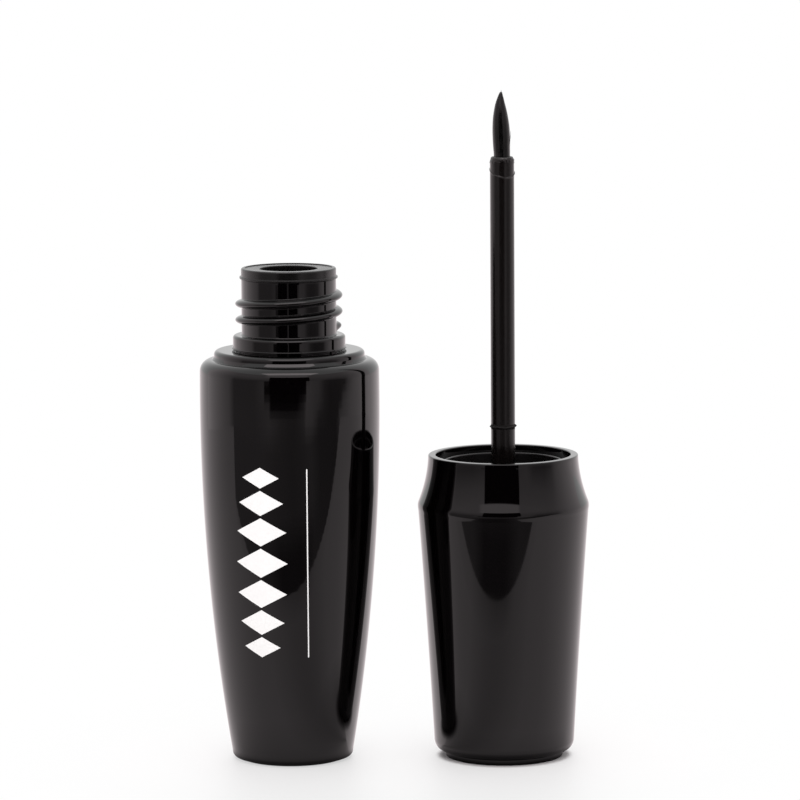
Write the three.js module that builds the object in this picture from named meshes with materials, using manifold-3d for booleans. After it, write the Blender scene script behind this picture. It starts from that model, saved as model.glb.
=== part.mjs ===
// Liquid eyeliner: a screw-neck bottle with its wiper, and beside it the cap that carries the brush,
// taken off and stood on its closed end with the brush pointing up.
// Millimetres, +Z up. The origin is the centre of the bottle's base.

import * as THREE from "three";
import { mergeVertices } from "three/addons/utils/BufferGeometryUtils.js";
import Module from "manifold-3d";

const wasm = await Module();
wasm.setup();

// Bottle, from the table up
const BODY_HEIGHT = 49.0; // base to the foot of the seat that carries the closed cap
const WIDEST_HEIGHT = 44.0; // base to the widest ring of the barrel
const BARREL_CURVE = 266; // radius of the barrel's side, seen from the front
const HEEL_ROUND = 0.6; // lower edge of the barrel
const FOOT_HEIGHT = 0.2; // foot under the barrel
const FOOT_INSET = 0.45; // heel's round in to the foot
const SHOULDER_LEDGE = 1.77; // widest ring in to the seat
const SHOULDER_ROUND = 1.5;
const SEAT_RISE = 1.1; // raised ring that the cap's mouth closes on
const SEAT_EDGE = 0.5;
const SEAT_FLARE = 0.25; // seat's foot out to the shoulder
const SEAT_FLARE_HEIGHT = 0.37;
const SEAT_LEDGE = 2.32; // seat's edge in to the neck bead
const BEAD_GROOVE_HEIGHT = 0.18; // undercut between the seat and the neck bead
const BEAD_GROOVE_DEPTH = 0.3;
const BEAD_LIP_HEIGHT = 0.2; // sharper lip at the foot of the bead
const BEAD_LIP_PROUD = 0.13;
const BEAD_HEIGHT = 1.67;
const BEAD_PROUD = 1.07; // bead out from the neck
const BEAD_EDGE = 0.35;
const NECK_HEIGHT = 6.83; // bead's top to the neck's land
const NECK_DIAMETER = 11.48; // at the root of the screw thread
const NECK_WALL = 1.19;
const WALL = 1.2; // barrel's side and shoulder
const FLOOR = 1.3;
const INSIDE_ROUND = 1.4; // inside corners of the barrel

// Wiper pressed into the neck
const FLANGE_HEIGHT = 1.27; // part of the wiper that stands on the neck
const FLANGE_EDGE = 0.45;
const FLANGE_LIP_HEIGHT = 0.25; // thin skirt round the flange's foot
const FLANGE_LIP_PROUD = 0.2;
const FLANGE_LAND = 0.7; // flat sealing ring on the flange's top
const COUNTERSINK_DEPTH = 0.35;
const WIPER_WALL = 1.0;
const WIPER_TUBE = 6.0; // straight sleeve under the flange
const WIPER_NOSE = 6.15; // cone from the sleeve to the wiping lip
const WIPER_LIP_HEIGHT = 0.5;
const WIPER_LIP_WALL = 0.55;

// Steel ball that stirs the ink
const BALL_DIAMETER = 4.76;

// Overcap, from its closed end up to its mouth
const CAP_HEIGHT = 37.1;
const COLLAR_HEIGHT = 6.16; // hollow-sided collar from the ridge to the mouth
const RIDGE_PROUD = 1.33; // ridge out from the mouth
const MOUTH_EDGE = 0.25;
const CAP_TAPER = 0.64; // mouth's radius over the closed end's
const FLANK_HOLLOW = 0.08; // dip of the side between the closed end and the ridge
const CAP_FOOT_HEIGHT = 0.73; // foot under the closed end
const CAP_FOOT_INSET = 0.1; // heel's round in to the foot
const CAP_HEEL_ROUND = 1.3; // lower edge of the closed end
const MOUTH_WALL = 0.93;
const SIDE_WALL = 1.2; // at the closed end
const END_WALL = 1.4;
const RIB_COUNT = 6;
const RIB_WIDTH = 0.8;
const RIB_ROOT = 0.3; // how far a rib is rooted in the wall
const GRIP_RIB = 0.4; // where the ribs grip the inner cap
const STOP_RIB = 1.2; // where the inner cap's roof stops on them

// Inner cap, pressed into the overcap's mouth; its bore takes the screw thread
const RIM_DROP = 0.7; // rim below the overcap's mouth
const RIM_FALL = 0.6; // slope of the rim, down to the overcap's wall
const RIM_HEIGHT = 1.0;
const THREAD_DEPTH = 0.76;
const ROOF = 1.2;
const BOSS_HEIGHT = 6.0; // tube on the roof that holds the rod
const BOSS_WALL = 1.1;
const WASHER_HEIGHT = 0.85;

// Applicator rod and brush
const ROD_DIAMETER = 2.86;
const ROD_FOOT_EDGE = 0.3; // lead-in chamfer at the rod's pressed end
const ROD_COLLAR_PROUD = 0.8; // collar that stops the rod against the roof
const ROD_COLLAR_HEIGHT = 0.7;
const ROD_SHOULDER = 0.8; // drawn-in end of the rod round the tuft
const ROD_LIP_WALL = 0.09;
const TUFT_SOCKET_DEPTH = 4.0;
const TUFT_DIAMETER = 1.98; // where the bristles leave the rod
const TUFT_BELLY_DIAMETER = 2.04;
const TUFT_BELLY_HEIGHT = 2.8; // rod's end to the fullest part
const TUFT_LENGTH = 8.1; // rod's end to the point
const TUFT_BACKING = 1.2; // slice of fused bristle ends in the socket
const TUFT_SINK = 0.5; // backing's top below the rod's end
const BRISTLE_PITCH = 0.094;
const BRISTLE_SIDE = 0.078;
const BRISTLE_STAGGER = 1.5; // how much shorter the outermost bristles are
const STAGGER_BEND = 1.5; // 1 shortens them evenly outwards, more mostly at the edge
const POINT_FULLNESS = 2.2; // 1 gives a cone, more a fuller point

// Clearances
const PRESS_FIT = 0.05; // each side of a pressed or seated piece
const RUNNING_GAP = 0.2; // each side of the screw thread and of the washer
const BEAD_GAP = 0.08; // inner cap round the neck bead
const BALL_GAP = 0.3;
const CLOSING_GAP = 0.05; // washer to the flange, with the cap screwed home
const TIP_GAP = 4.5; // brush to the floor, with the cap screwed home

// How the cap stands beside the bottle
const STAND_GAP = 4.48; // between the two widest rings
const STAND_BACK = 0.3; // cap's axis behind the bottle's

// Facets
const ROUND_SIDES = 36;
const SLIM_SIDES = 20;
const EDGE_STEPS = 3;
const CORNER_STEPS = 4;
const BARREL_STEPS = 9;
const COLLAR_STEPS = 5;
const FLANK_STEPS = 4;
const BALL_SIDES = 18;
const BALL_RINGS = 12;
const SAME_POINT = 1e-4; // corners closer than this are one

// Radii and heights that the pieces share
const neckR = NECK_DIAMETER / 2;
const beadR = neckR + BEAD_PROUD;
const beadLipR = beadR + BEAD_LIP_PROUD;
const seatR = beadR + SEAT_LEDGE;
const bodyR = seatR + SHOULDER_LEDGE;
const neckBoreR = neckR - NECK_WALL;
const seatTop = BODY_HEIGHT + SEAT_RISE;
const beadFoot = seatTop + BEAD_GROOVE_HEIGHT;
const beadTop = beadFoot + BEAD_HEIGHT;
const neckTop = beadTop + NECK_HEIGHT;
const flangeTop = neckTop + FLANGE_HEIGHT;

const mouthR = seatR;
const ridgeR = mouthR + RIDGE_PROUD;
const capEndR = mouthR - CAP_TAPER;
const capBoreR = mouthR - MOUTH_WALL;
const ridgeHeight = CAP_HEIGHT - COLLAR_HEIGHT;
const washerFace = CAP_HEIGHT - (flangeTop - seatTop) - CLOSING_GAP;
const roofFace = washerFace - WASHER_HEIGHT;
const roofBack = roofFace - ROOF;
const innerBoreR = neckR + THREAD_DEPTH + RUNNING_GAP;
const rodR = ROD_DIAMETER / 2;
const rodCollarR = rodR + ROD_COLLAR_PROUD;
const brushPoint = CAP_HEIGHT + seatTop - FLOOR - TIP_GAP;
const rodEnd = brushPoint - TUFT_LENGTH;
const tuftR = TUFT_DIAMETER / 2;
const socketR = tuftR + PRESS_FIT;

const capX = bodyR + ridgeR + STAND_GAP;

const QUARTER = Math.PI / 2;

// A point of a turned profile: radius and height
const at = (r, z) => new THREE.Vector2(r, z);

// Points along a circular arc of a turned profile, both ends included
function arc(r, z, radius, from, to, steps) {
  return Array.from({ length: steps + 1 }, (_, i) => {
    const angle = THREE.MathUtils.lerp(from, to, i / steps);
    return at(r + radius * Math.cos(angle), z + radius * Math.sin(angle));
  });
}

// The rounded upper outside edge of a ring
const topEdge = (r, z, radius) => arc(r - radius, z - radius, radius, 0, QUARTER, EDGE_STEPS);

function turned(profile, sides) {
  return new THREE.LatheGeometry(profile, sides).rotateX(QUARTER);
}

function closedRing(profile, sides) {
  return turned([...profile, profile[0].clone()], sides);
}

function toSolid(geometry) {
  const bare = geometry.clone();
  bare.deleteAttribute("normal");
  bare.deleteAttribute("uv");
  const merged = mergeVertices(bare, SAME_POINT);
  return new wasm.Manifold(
    new wasm.Mesh({
      numProp: 3,
      vertProperties: new Float32Array(merged.attributes.position.array),
      triVerts: new Uint32Array(merged.index.array),
    }),
  );
}

function fromSolid(solid) {
  const mesh = solid.getMesh();
  const geometry = new THREE.BufferGeometry();
  geometry.setAttribute("position", new THREE.BufferAttribute(new Float32Array(mesh.vertProperties), 3));
  geometry.setIndex(new THREE.BufferAttribute(new Uint32Array(mesh.triVerts), 1));
  geometry.computeVertexNormals();
  return geometry;
}

function piece(name, geometry, finish) {
  const mesh = new THREE.Mesh(geometry, new THREE.MeshStandardMaterial(finish));
  mesh.name = name;
  return mesh;
}

const GLOSS_BLACK = { color: 0x141213, roughness: 0.08, metalness: 0 };
const SATIN_BLACK = { color: 0x1a1718, roughness: 0.38, metalness: 0 };
const INK_BLACK = { color: 0x100e0e, roughness: 0.3, metalness: 0 };
const SATIN_CHARCOAL = { color: 0x2b2829, roughness: 0.45, metalness: 0 };
const FOAM_GREY = { color: 0x6d6b6a, roughness: 0.9, metalness: 0 };
const POLISHED_STEEL = { color: 0xc4c5c6, roughness: 0.15, metalness: 1 };

const barrelCentreR = bodyR - BARREL_CURVE;

// Radius of the barrel's curve, set in by a wall or by nothing, at a height over the table
function barrelR(inset, height) {
  return barrelCentreR + Math.sqrt((BARREL_CURVE - inset) ** 2 - (height - WIDEST_HEIGHT) ** 2);
}

// The barrel's side between two level faces: a round at the foot, the long curve, a round at the top.
// The inside is the same curve set in by the wall.
function barrelSide(inset, foot, footRound, top, topRound) {
  const curve = BARREL_CURVE - inset;
  const touch = (radius, height) => {
    const angle = Math.asin((height - WIDEST_HEIGHT) / (curve - radius));
    return { angle, r: barrelCentreR + (curve - radius) * Math.cos(angle), z: height };
  };
  const low = touch(footRound, foot + footRound);
  const high = touch(topRound, top - topRound);
  return [
    ...arc(low.r, low.z, footRound, -QUARTER, low.angle, CORNER_STEPS),
    ...arc(barrelCentreR, WIDEST_HEIGHT, curve, low.angle, high.angle, BARREL_STEPS).slice(1, -1),
    ...arc(high.r, high.z, topRound, high.angle, QUARTER, CORNER_STEPS),
  ];
}

function makeBottle() {
  const shoulderRound = Math.min(SHOULDER_ROUND, SHOULDER_LEDGE - SEAT_FLARE);
  const side = barrelSide(0, FOOT_HEIGHT, HEEL_ROUND, BODY_HEIGHT, shoulderRound);
  const footR = side[0].x - FOOT_INSET;
  const outside = [
    at(0, 0),
    at(footR, 0),
    at(footR, FOOT_HEIGHT),
    ...side,
    at(seatR + SEAT_FLARE, BODY_HEIGHT),
    at(seatR, BODY_HEIGHT + SEAT_FLARE_HEIGHT),
    ...topEdge(seatR, seatTop, SEAT_EDGE),
    at(beadR - BEAD_GROOVE_DEPTH, seatTop),
    at(beadR - BEAD_GROOVE_DEPTH, beadFoot),
    at(beadLipR, beadFoot),
    at(beadLipR, beadFoot + BEAD_LIP_HEIGHT),
    at(beadR, beadFoot + BEAD_LIP_HEIGHT),
    ...topEdge(beadR, beadTop, BEAD_EDGE),
    at(neckR, beadTop),
    at(neckR, neckTop),
  ];
  const shoulderInside = BODY_HEIGHT - WALL;
  const inside = [
    at(neckBoreR, neckTop),
    at(neckBoreR, shoulderInside),
    ...barrelSide(WALL, FLOOR, INSIDE_ROUND, shoulderInside, INSIDE_ROUND).reverse(),
    at(0, FLOOR),
  ];
  return piece("bottle", turned([...outside, ...inside], ROUND_SIDES), GLOSS_BLACK);
}

function makeNeckWiper() {
  const sleeveR = neckBoreR - PRESS_FIT;
  const boreR = sleeveR - WIPER_WALL;
  const lipR = rodR + PRESS_FIT;
  const sleeveFoot = neckTop - WIPER_TUBE;
  const noseFoot = sleeveFoot - WIPER_NOSE;
  const profile = [
    at(sleeveR, neckTop),
    at(neckR + FLANGE_LIP_PROUD, neckTop),
    at(neckR + FLANGE_LIP_PROUD, neckTop + FLANGE_LIP_HEIGHT),
    at(neckR, neckTop + FLANGE_LIP_HEIGHT),
    ...topEdge(neckR, flangeTop, FLANGE_EDGE),
    at(neckR - FLANGE_EDGE - FLANGE_LAND, flangeTop),
    at(boreR, flangeTop - COUNTERSINK_DEPTH),
    at(boreR, sleeveFoot),
    at(lipR, noseFoot + WIPER_LIP_HEIGHT),
    at(lipR, noseFoot),
    at(lipR + WIPER_LIP_WALL, noseFoot),
    at(sleeveR, sleeveFoot),
  ];
  return piece("neck_wiper", closedRing(profile, ROUND_SIDES), SATIN_CHARCOAL);
}

// The ball lies loose on the floor, against the wall, where the closed cap's brush passes it
function makeMixingBall() {
  const sphere = new THREE.SphereGeometry(BALL_DIAMETER / 2, BALL_SIDES, BALL_RINGS);
  const ball = piece("mixing_ball", sphere.rotateX(QUARTER), POLISHED_STEEL);
  const height = FLOOR + BALL_GAP + BALL_DIAMETER / 2;
  const insideR = barrelR(WALL, height);
  ball.position.set(0, insideR - BALL_GAP - BALL_DIAMETER / 2, height);
  return ball;
}

// The overcap's side from its closed end to the ridge, a straight taper with a slight dip
function capFlank() {
  const spread = ridgeR - capEndR;
  const flank = (t) => at(capEndR + spread * t - 4 * FLANK_HOLLOW * t * (1 - t), ridgeHeight * t);
  const slope = (spread - 4 * FLANK_HOLLOW) / ridgeHeight;
  const heel = CAP_FOOT_HEIGHT + CAP_HEEL_ROUND;
  const heelR = capEndR + slope * heel - CAP_HEEL_ROUND * Math.hypot(1, slope);
  const steps = Array.from({ length: FLANK_STEPS }, (_, i) => (i + 1) / FLANK_STEPS);
  return [
    ...arc(heelR, heel, CAP_HEEL_ROUND, -QUARTER, -Math.atan(slope), CORNER_STEPS),
    ...steps.map(flank),
  ];
}

// The hollow-sided collar from the ridge up to the mouth, upright where it meets the mouth's edge
function capCollar() {
  const top = CAP_HEIGHT - MOUTH_EDGE;
  const rise = top - ridgeHeight;
  const radius = (rise ** 2 + RIDGE_PROUD ** 2) / (2 * RIDGE_PROUD);
  const swing = Math.asin(rise / radius);
  return arc(mouthR + radius, top, radius, Math.PI + swing, Math.PI, COLLAR_STEPS).slice(1, -1);
}

// One rib inside the overcap: low where it grips the inner cap, deep under the roof that stops on it
function capRib(turn) {
  const endBoreR = capEndR - SIDE_WALL;
  const gripTop = CAP_HEIGHT - RIM_DROP - RIM_HEIGHT - GRIP_RIB;
  const rooted = END_WALL - RIB_ROOT;
  const outline = new THREE.Shape([
    at(capBoreR + RIB_ROOT, gripTop + RIB_ROOT - GRIP_RIB),
    at(capBoreR - GRIP_RIB, gripTop - GRIP_RIB),
    at(capBoreR - GRIP_RIB, roofBack),
    at(capBoreR - STOP_RIB, roofBack),
    at(endBoreR - STOP_RIB, rooted),
    at(endBoreR + RIB_ROOT, rooted),
    at(capBoreR + RIB_ROOT, roofBack),
  ]);
  return new THREE.ExtrudeGeometry(outline, { depth: RIB_WIDTH, bevelEnabled: false })
    .translate(0, 0, -RIB_WIDTH / 2)
    .rotateX(QUARTER)
    .rotateZ(turn);
}

function makeOvercap() {
  const flank = capFlank();
  const footR = flank[0].x - CAP_FOOT_INSET;
  const profile = [
    at(0, 0),
    at(footR, 0),
    at(footR, CAP_FOOT_HEIGHT),
    ...flank,
    ...capCollar(),
    ...topEdge(mouthR, CAP_HEIGHT, MOUTH_EDGE),
    at(capBoreR, CAP_HEIGHT),
    at(capBoreR, roofBack),
    at(capEndR - SIDE_WALL, END_WALL),
    at(0, END_WALL),
  ];
  let shell = toSolid(turned(profile, ROUND_SIDES));
  for (let i = 0; i < RIB_COUNT; i++) {
    shell = shell.add(toSolid(capRib((i * 2 * Math.PI) / RIB_COUNT)));
  }
  return piece("overcap", fromSolid(shell), GLOSS_BLACK);
}

function makeInnerCap() {
  const rimR = capBoreR - PRESS_FIT;
  const skirtR = capBoreR - GRIP_RIB - PRESS_FIT;
  const rimFace = CAP_HEIGHT - RIM_DROP;
  const beadBoreR = beadLipR + BEAD_GAP;
  const beadBoreFoot = CAP_HEIGHT - (beadTop - seatTop) - RUNNING_GAP;
  const socket = rodR + PRESS_FIT;
  const profile = [
    at(rimR, rimFace - RIM_FALL),
    at(beadBoreR, rimFace),
    at(beadBoreR, beadBoreFoot),
    at(innerBoreR, beadBoreFoot - RUNNING_GAP),
    at(innerBoreR, roofFace),
    at(socket, roofFace),
    at(socket, roofBack - BOSS_HEIGHT),
    at(socket + BOSS_WALL, roofBack - BOSS_HEIGHT),
    at(socket + BOSS_WALL, roofBack),
    at(skirtR, roofBack),
    at(skirtR, rimFace - RIM_HEIGHT),
    at(rimR, rimFace - RIM_HEIGHT),
  ];
  return piece("inner_cap", closedRing(profile, ROUND_SIDES), SATIN_BLACK);
}

function makeSealingWasher() {
  const holeR = rodCollarR + RUNNING_GAP;
  const edgeR = innerBoreR - RUNNING_GAP;
  const profile = [at(holeR, roofFace), at(edgeR, roofFace), at(edgeR, washerFace), at(holeR, washerFace)];
  return piece("sealing_washer", closedRing(profile, ROUND_SIDES), FOAM_GREY);
}

function makeApplicatorRod() {
  const foot = roofBack - BOSS_HEIGHT;
  const lipR = socketR + ROD_LIP_WALL;
  const draw = rodR - lipR;
  const profile = [
    at(0, foot),
    at(rodR - ROD_FOOT_EDGE, foot),
    at(rodR, foot + ROD_FOOT_EDGE),
    at(rodR, roofFace),
    at(rodCollarR, roofFace),
    at(rodCollarR, roofFace + ROD_COLLAR_HEIGHT),
    at(rodR, roofFace + ROD_COLLAR_HEIGHT),
    ...arc(0, 0, 1, 0, QUARTER, EDGE_STEPS).map(({ x, y }) => {
      return at(lipR + draw * x, rodEnd - ROD_SHOULDER * (1 - y));
    }),
    at(socketR, rodEnd),
    at(socketR, rodEnd - TUFT_SOCKET_DEPTH),
    at(0, rodEnd - TUFT_SOCKET_DEPTH),
  ];
  return piece("applicator_rod", turned(profile, SLIM_SIDES), SATIN_BLACK);
}

// Width of the tuft at a height over the rod's end, as a share of its width where it leaves the rod
function tuftSpread(height) {
  const belly = TUFT_BELLY_DIAMETER / TUFT_DIAMETER;
  if (height <= TUFT_BELLY_HEIGHT) {
    return THREE.MathUtils.lerp(1, belly, Math.max(0, height / TUFT_BELLY_HEIGHT));
  }
  const along = (height - TUFT_BELLY_HEIGHT) / (TUFT_LENGTH - TUFT_BELLY_HEIGHT);
  return belly * (1 - along ** POINT_FULLNESS);
}

// Places of the bristles in the socket: a triangular grid inside the tuft's round
function bristlePlaces() {
  const rowStep = BRISTLE_PITCH * Math.sin(Math.PI / 3);
  const rows = Math.ceil(tuftR / rowStep);
  const reach = Math.ceil(tuftR / BRISTLE_PITCH) + 1;
  const places = [];
  for (let row = -rows; row <= rows; row++) {
    const shift = row % 2 === 0 ? 0 : BRISTLE_PITCH / 2;
    for (let column = -reach; column <= reach; column++) {
      const place = at(column * BRISTLE_PITCH + shift, row * rowStep);
      if (place.length() <= tuftR - BRISTLE_SIDE) places.push(place);
    }
  }
  return places;
}

// Three-sided bristles that keep their places in the tuft as it swells and draws in to the point
function bristles(backingTop) {
  const corners = [0, 1, 2].map((i) => {
    const angle = (i * 2 * Math.PI) / 3 - QUARTER - Math.PI / 3;
    return at(Math.cos(angle), Math.sin(angle)).multiplyScalar(BRISTLE_SIDE / Math.sqrt(3));
  });
  const positions = [];
  const index = [];
  for (const place of bristlePlaces()) {
    const out = place.length() / tuftR;
    const end = TUFT_LENGTH - BRISTLE_STAGGER * out ** STAGGER_BEND;
    const middle = (TUFT_BELLY_HEIGHT + end) / 2;
    const first = positions.length / 3;
    const levels = [backingTop - rodEnd - TUFT_BACKING / 2, TUFT_BELLY_HEIGHT, middle];
    for (const height of levels) {
      const spread = tuftSpread(height);
      for (const corner of corners) {
        positions.push((place.x + corner.x) * spread, (place.y + corner.y) * spread, rodEnd + height);
      }
    }
    positions.push(place.x * tuftSpread(end), place.y * tuftSpread(end), rodEnd + end);
    const tip = first + 3 * levels.length;
    index.push(first, first + 2, first + 1);
    for (let level = 0; level < levels.length; level++) {
      for (let side = 0; side < 3; side++) {
        const a = first + 3 * level + side;
        const b = first + 3 * level + ((side + 1) % 3);
        if (level === levels.length - 1) index.push(a, b, tip);
        else index.push(a, b, b + 3, a, b + 3, a + 3);
      }
    }
  }
  const geometry = new THREE.BufferGeometry();
  geometry.setAttribute("position", new THREE.Float32BufferAttribute(positions, 3));
  geometry.setIndex(index);
  return geometry;
}

function makeBrushTuft() {
  const top = rodEnd - TUFT_SINK;
  const foot = top - TUFT_BACKING;
  const backing = turned([at(0, foot), at(tuftR, foot), at(tuftR, top), at(0, top)], SLIM_SIDES);
  return piece("brush_tuft", fromSolid(toSolid(backing).add(toSolid(bristles(top)))), INK_BLACK);
}

const bottle = new THREE.Group();
bottle.add(makeBottle(), makeNeckWiper(), makeMixingBall());

const cap = new THREE.Group();
cap.add(makeOvercap(), makeInnerCap(), makeSealingWasher(), makeApplicatorRod(), makeBrushTuft());
cap.position.set(capX, STAND_BACK, 0);

const eyeliner = new THREE.Group();
eyeliner.add(bottle, cap);

export default eyeliner;
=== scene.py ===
# %% [markdown]
# # A liquid eyeliner: bottle, cap and brush
# The real thing is two small black mouldings that screw together. A slim bottle holds the ink, and
# a tall cap carries a rod with a fine brush on its end. Here the cap stands upside down beside the
# bottle, as it is put down between two strokes.
#
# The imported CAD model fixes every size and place. Its solids have flat facets, which a polished
# surface would show at once, so this file builds smooth skins over them, and adds what CAD leaves
# out: screw threads, moulding seams, wet ink, print and light.

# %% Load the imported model
import math
import random

import bpy
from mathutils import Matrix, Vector, noise


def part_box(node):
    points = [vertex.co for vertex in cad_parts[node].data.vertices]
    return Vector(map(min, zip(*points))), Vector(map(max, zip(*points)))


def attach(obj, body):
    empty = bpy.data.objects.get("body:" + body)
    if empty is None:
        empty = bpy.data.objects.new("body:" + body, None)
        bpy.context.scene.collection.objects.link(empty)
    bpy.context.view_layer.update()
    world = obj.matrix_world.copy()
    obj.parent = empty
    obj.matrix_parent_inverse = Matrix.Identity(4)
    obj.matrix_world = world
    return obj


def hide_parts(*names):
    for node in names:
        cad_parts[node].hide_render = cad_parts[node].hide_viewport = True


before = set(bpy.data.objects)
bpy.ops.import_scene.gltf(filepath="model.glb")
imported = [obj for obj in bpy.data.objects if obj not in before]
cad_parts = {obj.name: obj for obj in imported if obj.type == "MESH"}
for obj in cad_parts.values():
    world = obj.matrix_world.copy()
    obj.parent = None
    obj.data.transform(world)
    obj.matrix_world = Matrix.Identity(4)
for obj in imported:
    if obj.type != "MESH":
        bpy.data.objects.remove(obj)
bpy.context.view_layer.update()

# %% [markdown]
# ## Millimetres
# Blender works in metres here and a designer thinks in millimetres, so every size below is written
# in millimetres and turned to metres only where a mesh is made. The sizes that the frame can tell
# are read from the boxes of the CAD nodes, so the skins keep to them.

# %% Read the main sizes from the frame
MM = 0.001


def box_mm(node):
    """Lowest and highest corner of a CAD node, in millimetres."""
    low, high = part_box(node)
    return low / MM, high / MM


bottle_high = box_mm("bottle")[1]
overcap_low, overcap_high = box_mm("overcap")
cap_axis = (overcap_low + overcap_high) / 2
body_r = bottle_high.x
neck_top = bottle_high.z
flange_top = box_mm("neck_wiper")[1].z
cap_height = overcap_high.z
ridge_r = (overcap_high.x - overcap_low.x) / 2
inner_low, inner_high = box_mm("inner_cap")
washer_low, washer_high = box_mm("sealing_washer")
rod_low, rod_high = box_mm("applicator_rod")
rod_end = rod_high.z
brush_point = box_mm("brush_tuft")[1].z
print(f"bottle {neck_top:.2f} mm high, {2 * body_r:.2f} mm wide, cap axis at x {cap_axis.x:.2f} mm")

# %% [markdown]
# ## Camera
# The photograph was taken from far away with a long lens, a little above the table, so the two
# pieces show hardly any perspective. The distance and the tilt come from how round the bottle's
# foot and the cap's mouth look. The small roll is the photographer's.

# %% Place the camera
PHOTO_SIDE = 800
FOCAL_PIXELS = 4880
SENSOR = 36.0
CAMERA_PLACE = Vector((13.36, -586.5, 120.2))
CAMERA_TILT = 7.42
CAMERA_ROLL = -0.38
NEAREST_SEEN = 10.0

camera = bpy.data.objects.new("camera", bpy.data.cameras.new("camera"))
camera.data.sensor_width = SENSOR
camera.data.lens = SENSOR * FOCAL_PIXELS / PHOTO_SIDE
camera.data.clip_start = NEAREST_SEEN * MM
camera.location = CAMERA_PLACE * MM
camera.rotation_mode = "ZYX"
camera.rotation_euler = (math.radians(90 - CAMERA_TILT), 0, math.radians(CAMERA_ROLL))
bpy.context.scene.collection.objects.link(camera)
bpy.context.scene.camera = camera
print(f"lens {camera.data.lens:.1f} mm, {CAMERA_PLACE.length:.0f} mm from the bottle's foot")

# %% [markdown]
# ## Small tools
# A node tree is easier to read when one line makes one node. This function adds a node of any
# kind, sets its options, its sockets and, on a ramp, its grey stops, and links it to what feeds it.
# Colours are written as the hex values that a colour picker shows, and one function turns them to
# the linear values that Blender reckons with.

# %% Nodes and colours


def add_node(tree, kind, values=(), links=(), stops=(), **options):
    """Adds a node with its options, ramp stops, socket values and links. A new ramp has two stops."""
    node = tree.nodes.new(kind)
    for option, choice in options.items():
        setattr(node, option, choice)
    for _ in range(2, len(stops)):
        node.color_ramp.elements.new(0.5)
    for i, (where, level) in enumerate(stops):
        node.color_ramp.elements[i].position = where
        node.color_ramp.elements[i].color = (level, level, level, 1)
    for socket, value in dict(values).items():
        node.inputs[socket].default_value = value
    for socket, source in dict(links).items():
        tree.links.new(source, node.inputs[socket])
    return node


def linear(hex_colour):
    """Turns a hex sRGB colour to linear red, green, blue and alpha."""
    shares = [int(hex_colour[i:i + 2], 16) / 255 for i in (1, 3, 5)]
    return [s / 12.92 if s <= 0.04045 else ((s + 0.055) / 1.055) ** 2.4 for s in shares] + [1.0]


def new_tree(owner):
    """The empty node tree of a material or of the world."""
    owner.use_nodes = True
    owner.node_tree.nodes.clear()
    return owner.node_tree


print("mid grey #808080 is", [round(c, 3) for c in linear("#808080")[:3]], "in linear light")

# %% [markdown]
# ## Studio
# The photograph is a product shot in a white tent: white all round and below, so bright that the
# floor almost disappears. A white world gives that. The camera, and anything shiny, sees the world
# at a strength of 1, which is plain white, while matt surfaces get a softer level from it and the
# rest from two large lamps.

# %% World
SKY_LEVEL = 0.72

world = bpy.data.worlds.new("white_tent")
bpy.context.scene.world = world
tree = new_tree(world)
ray = add_node(tree, "ShaderNodeLightPath")
seen = add_node(tree, "ShaderNodeMath", links={0: ray.outputs["Is Camera Ray"],
                1: ray.outputs["Is Glossy Ray"]}, operation="ADD")
seen = add_node(tree, "ShaderNodeMath", links={0: seen.outputs[0],
                1: ray.outputs["Is Transmission Ray"]}, operation="ADD", use_clamp=True)
level = add_node(tree, "ShaderNodeMapRange", {"To Min": SKY_LEVEL}, {"Value": seen.outputs[0]})
sky = add_node(tree, "ShaderNodeBackground", {"Color": linear("#ffffff")},
               {"Strength": level.outputs[0]})
add_node(tree, "ShaderNodeOutputWorld", links={"Surface": sky.outputs[0]})
print("world at 1 to the camera, and at", SKY_LEVEL, "for matt surfaces")

# %% [markdown]
# The floor is one large sheet of white paper, a hair's breadth under the feet, so that no face of
# it lies in the same plane as theirs.

# %% Floor
FLOOR_WIDTH = 4000.0
FLOOR_DROP = 0.02


def flat_mesh(name, points, faces):
    """A mesh object from points in millimetres."""
    mesh = bpy.data.meshes.new(name)
    mesh.from_pydata([Vector(p) * MM for p in points], [], faces)
    piece = bpy.data.objects.new(name, mesh)
    bpy.context.scene.collection.objects.link(piece)
    return piece


half = FLOOR_WIDTH / 2
corners = [(-half, -half), (half, -half), (half, half), (-half, half)]
floor = flat_mesh("floor", [(x, y, -FLOOR_DROP) for x, y in corners], [(0, 1, 2, 3)])
print("floor", FLOOR_WIDTH, "mm wide")

# %% [markdown]
# To the camera most of the paper is plain white. A sheen laid over that mirrors the white tent, and
# darkens only where it mirrors the black pieces. That gives the soft grey streak in front of each,
# and it fades out a little further off. Close to each foot some plain matt paper shows too, and
# keeps the contact shadow. Under the feet there is nothing but matt paper.

# %% Paper, as the camera sees it
SHEEN_SHARE = 0.19
SHEEN_ROUGHNESS = 0.5
SHEEN_FADE = (34.0, 54.0)
FEET = [((0, 0, 0), 5.4), (cap_axis, 7.8)]
SHADOW_REACH = 20.0
SHADOW_SHARES = [(0.0, 0.0), (0.03, 0.66), (0.12, 0.72), (0.3, 0.8), (0.6, 0.9), (1.0, 1.0)]
stand_middle = cap_axis.x / 2

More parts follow.
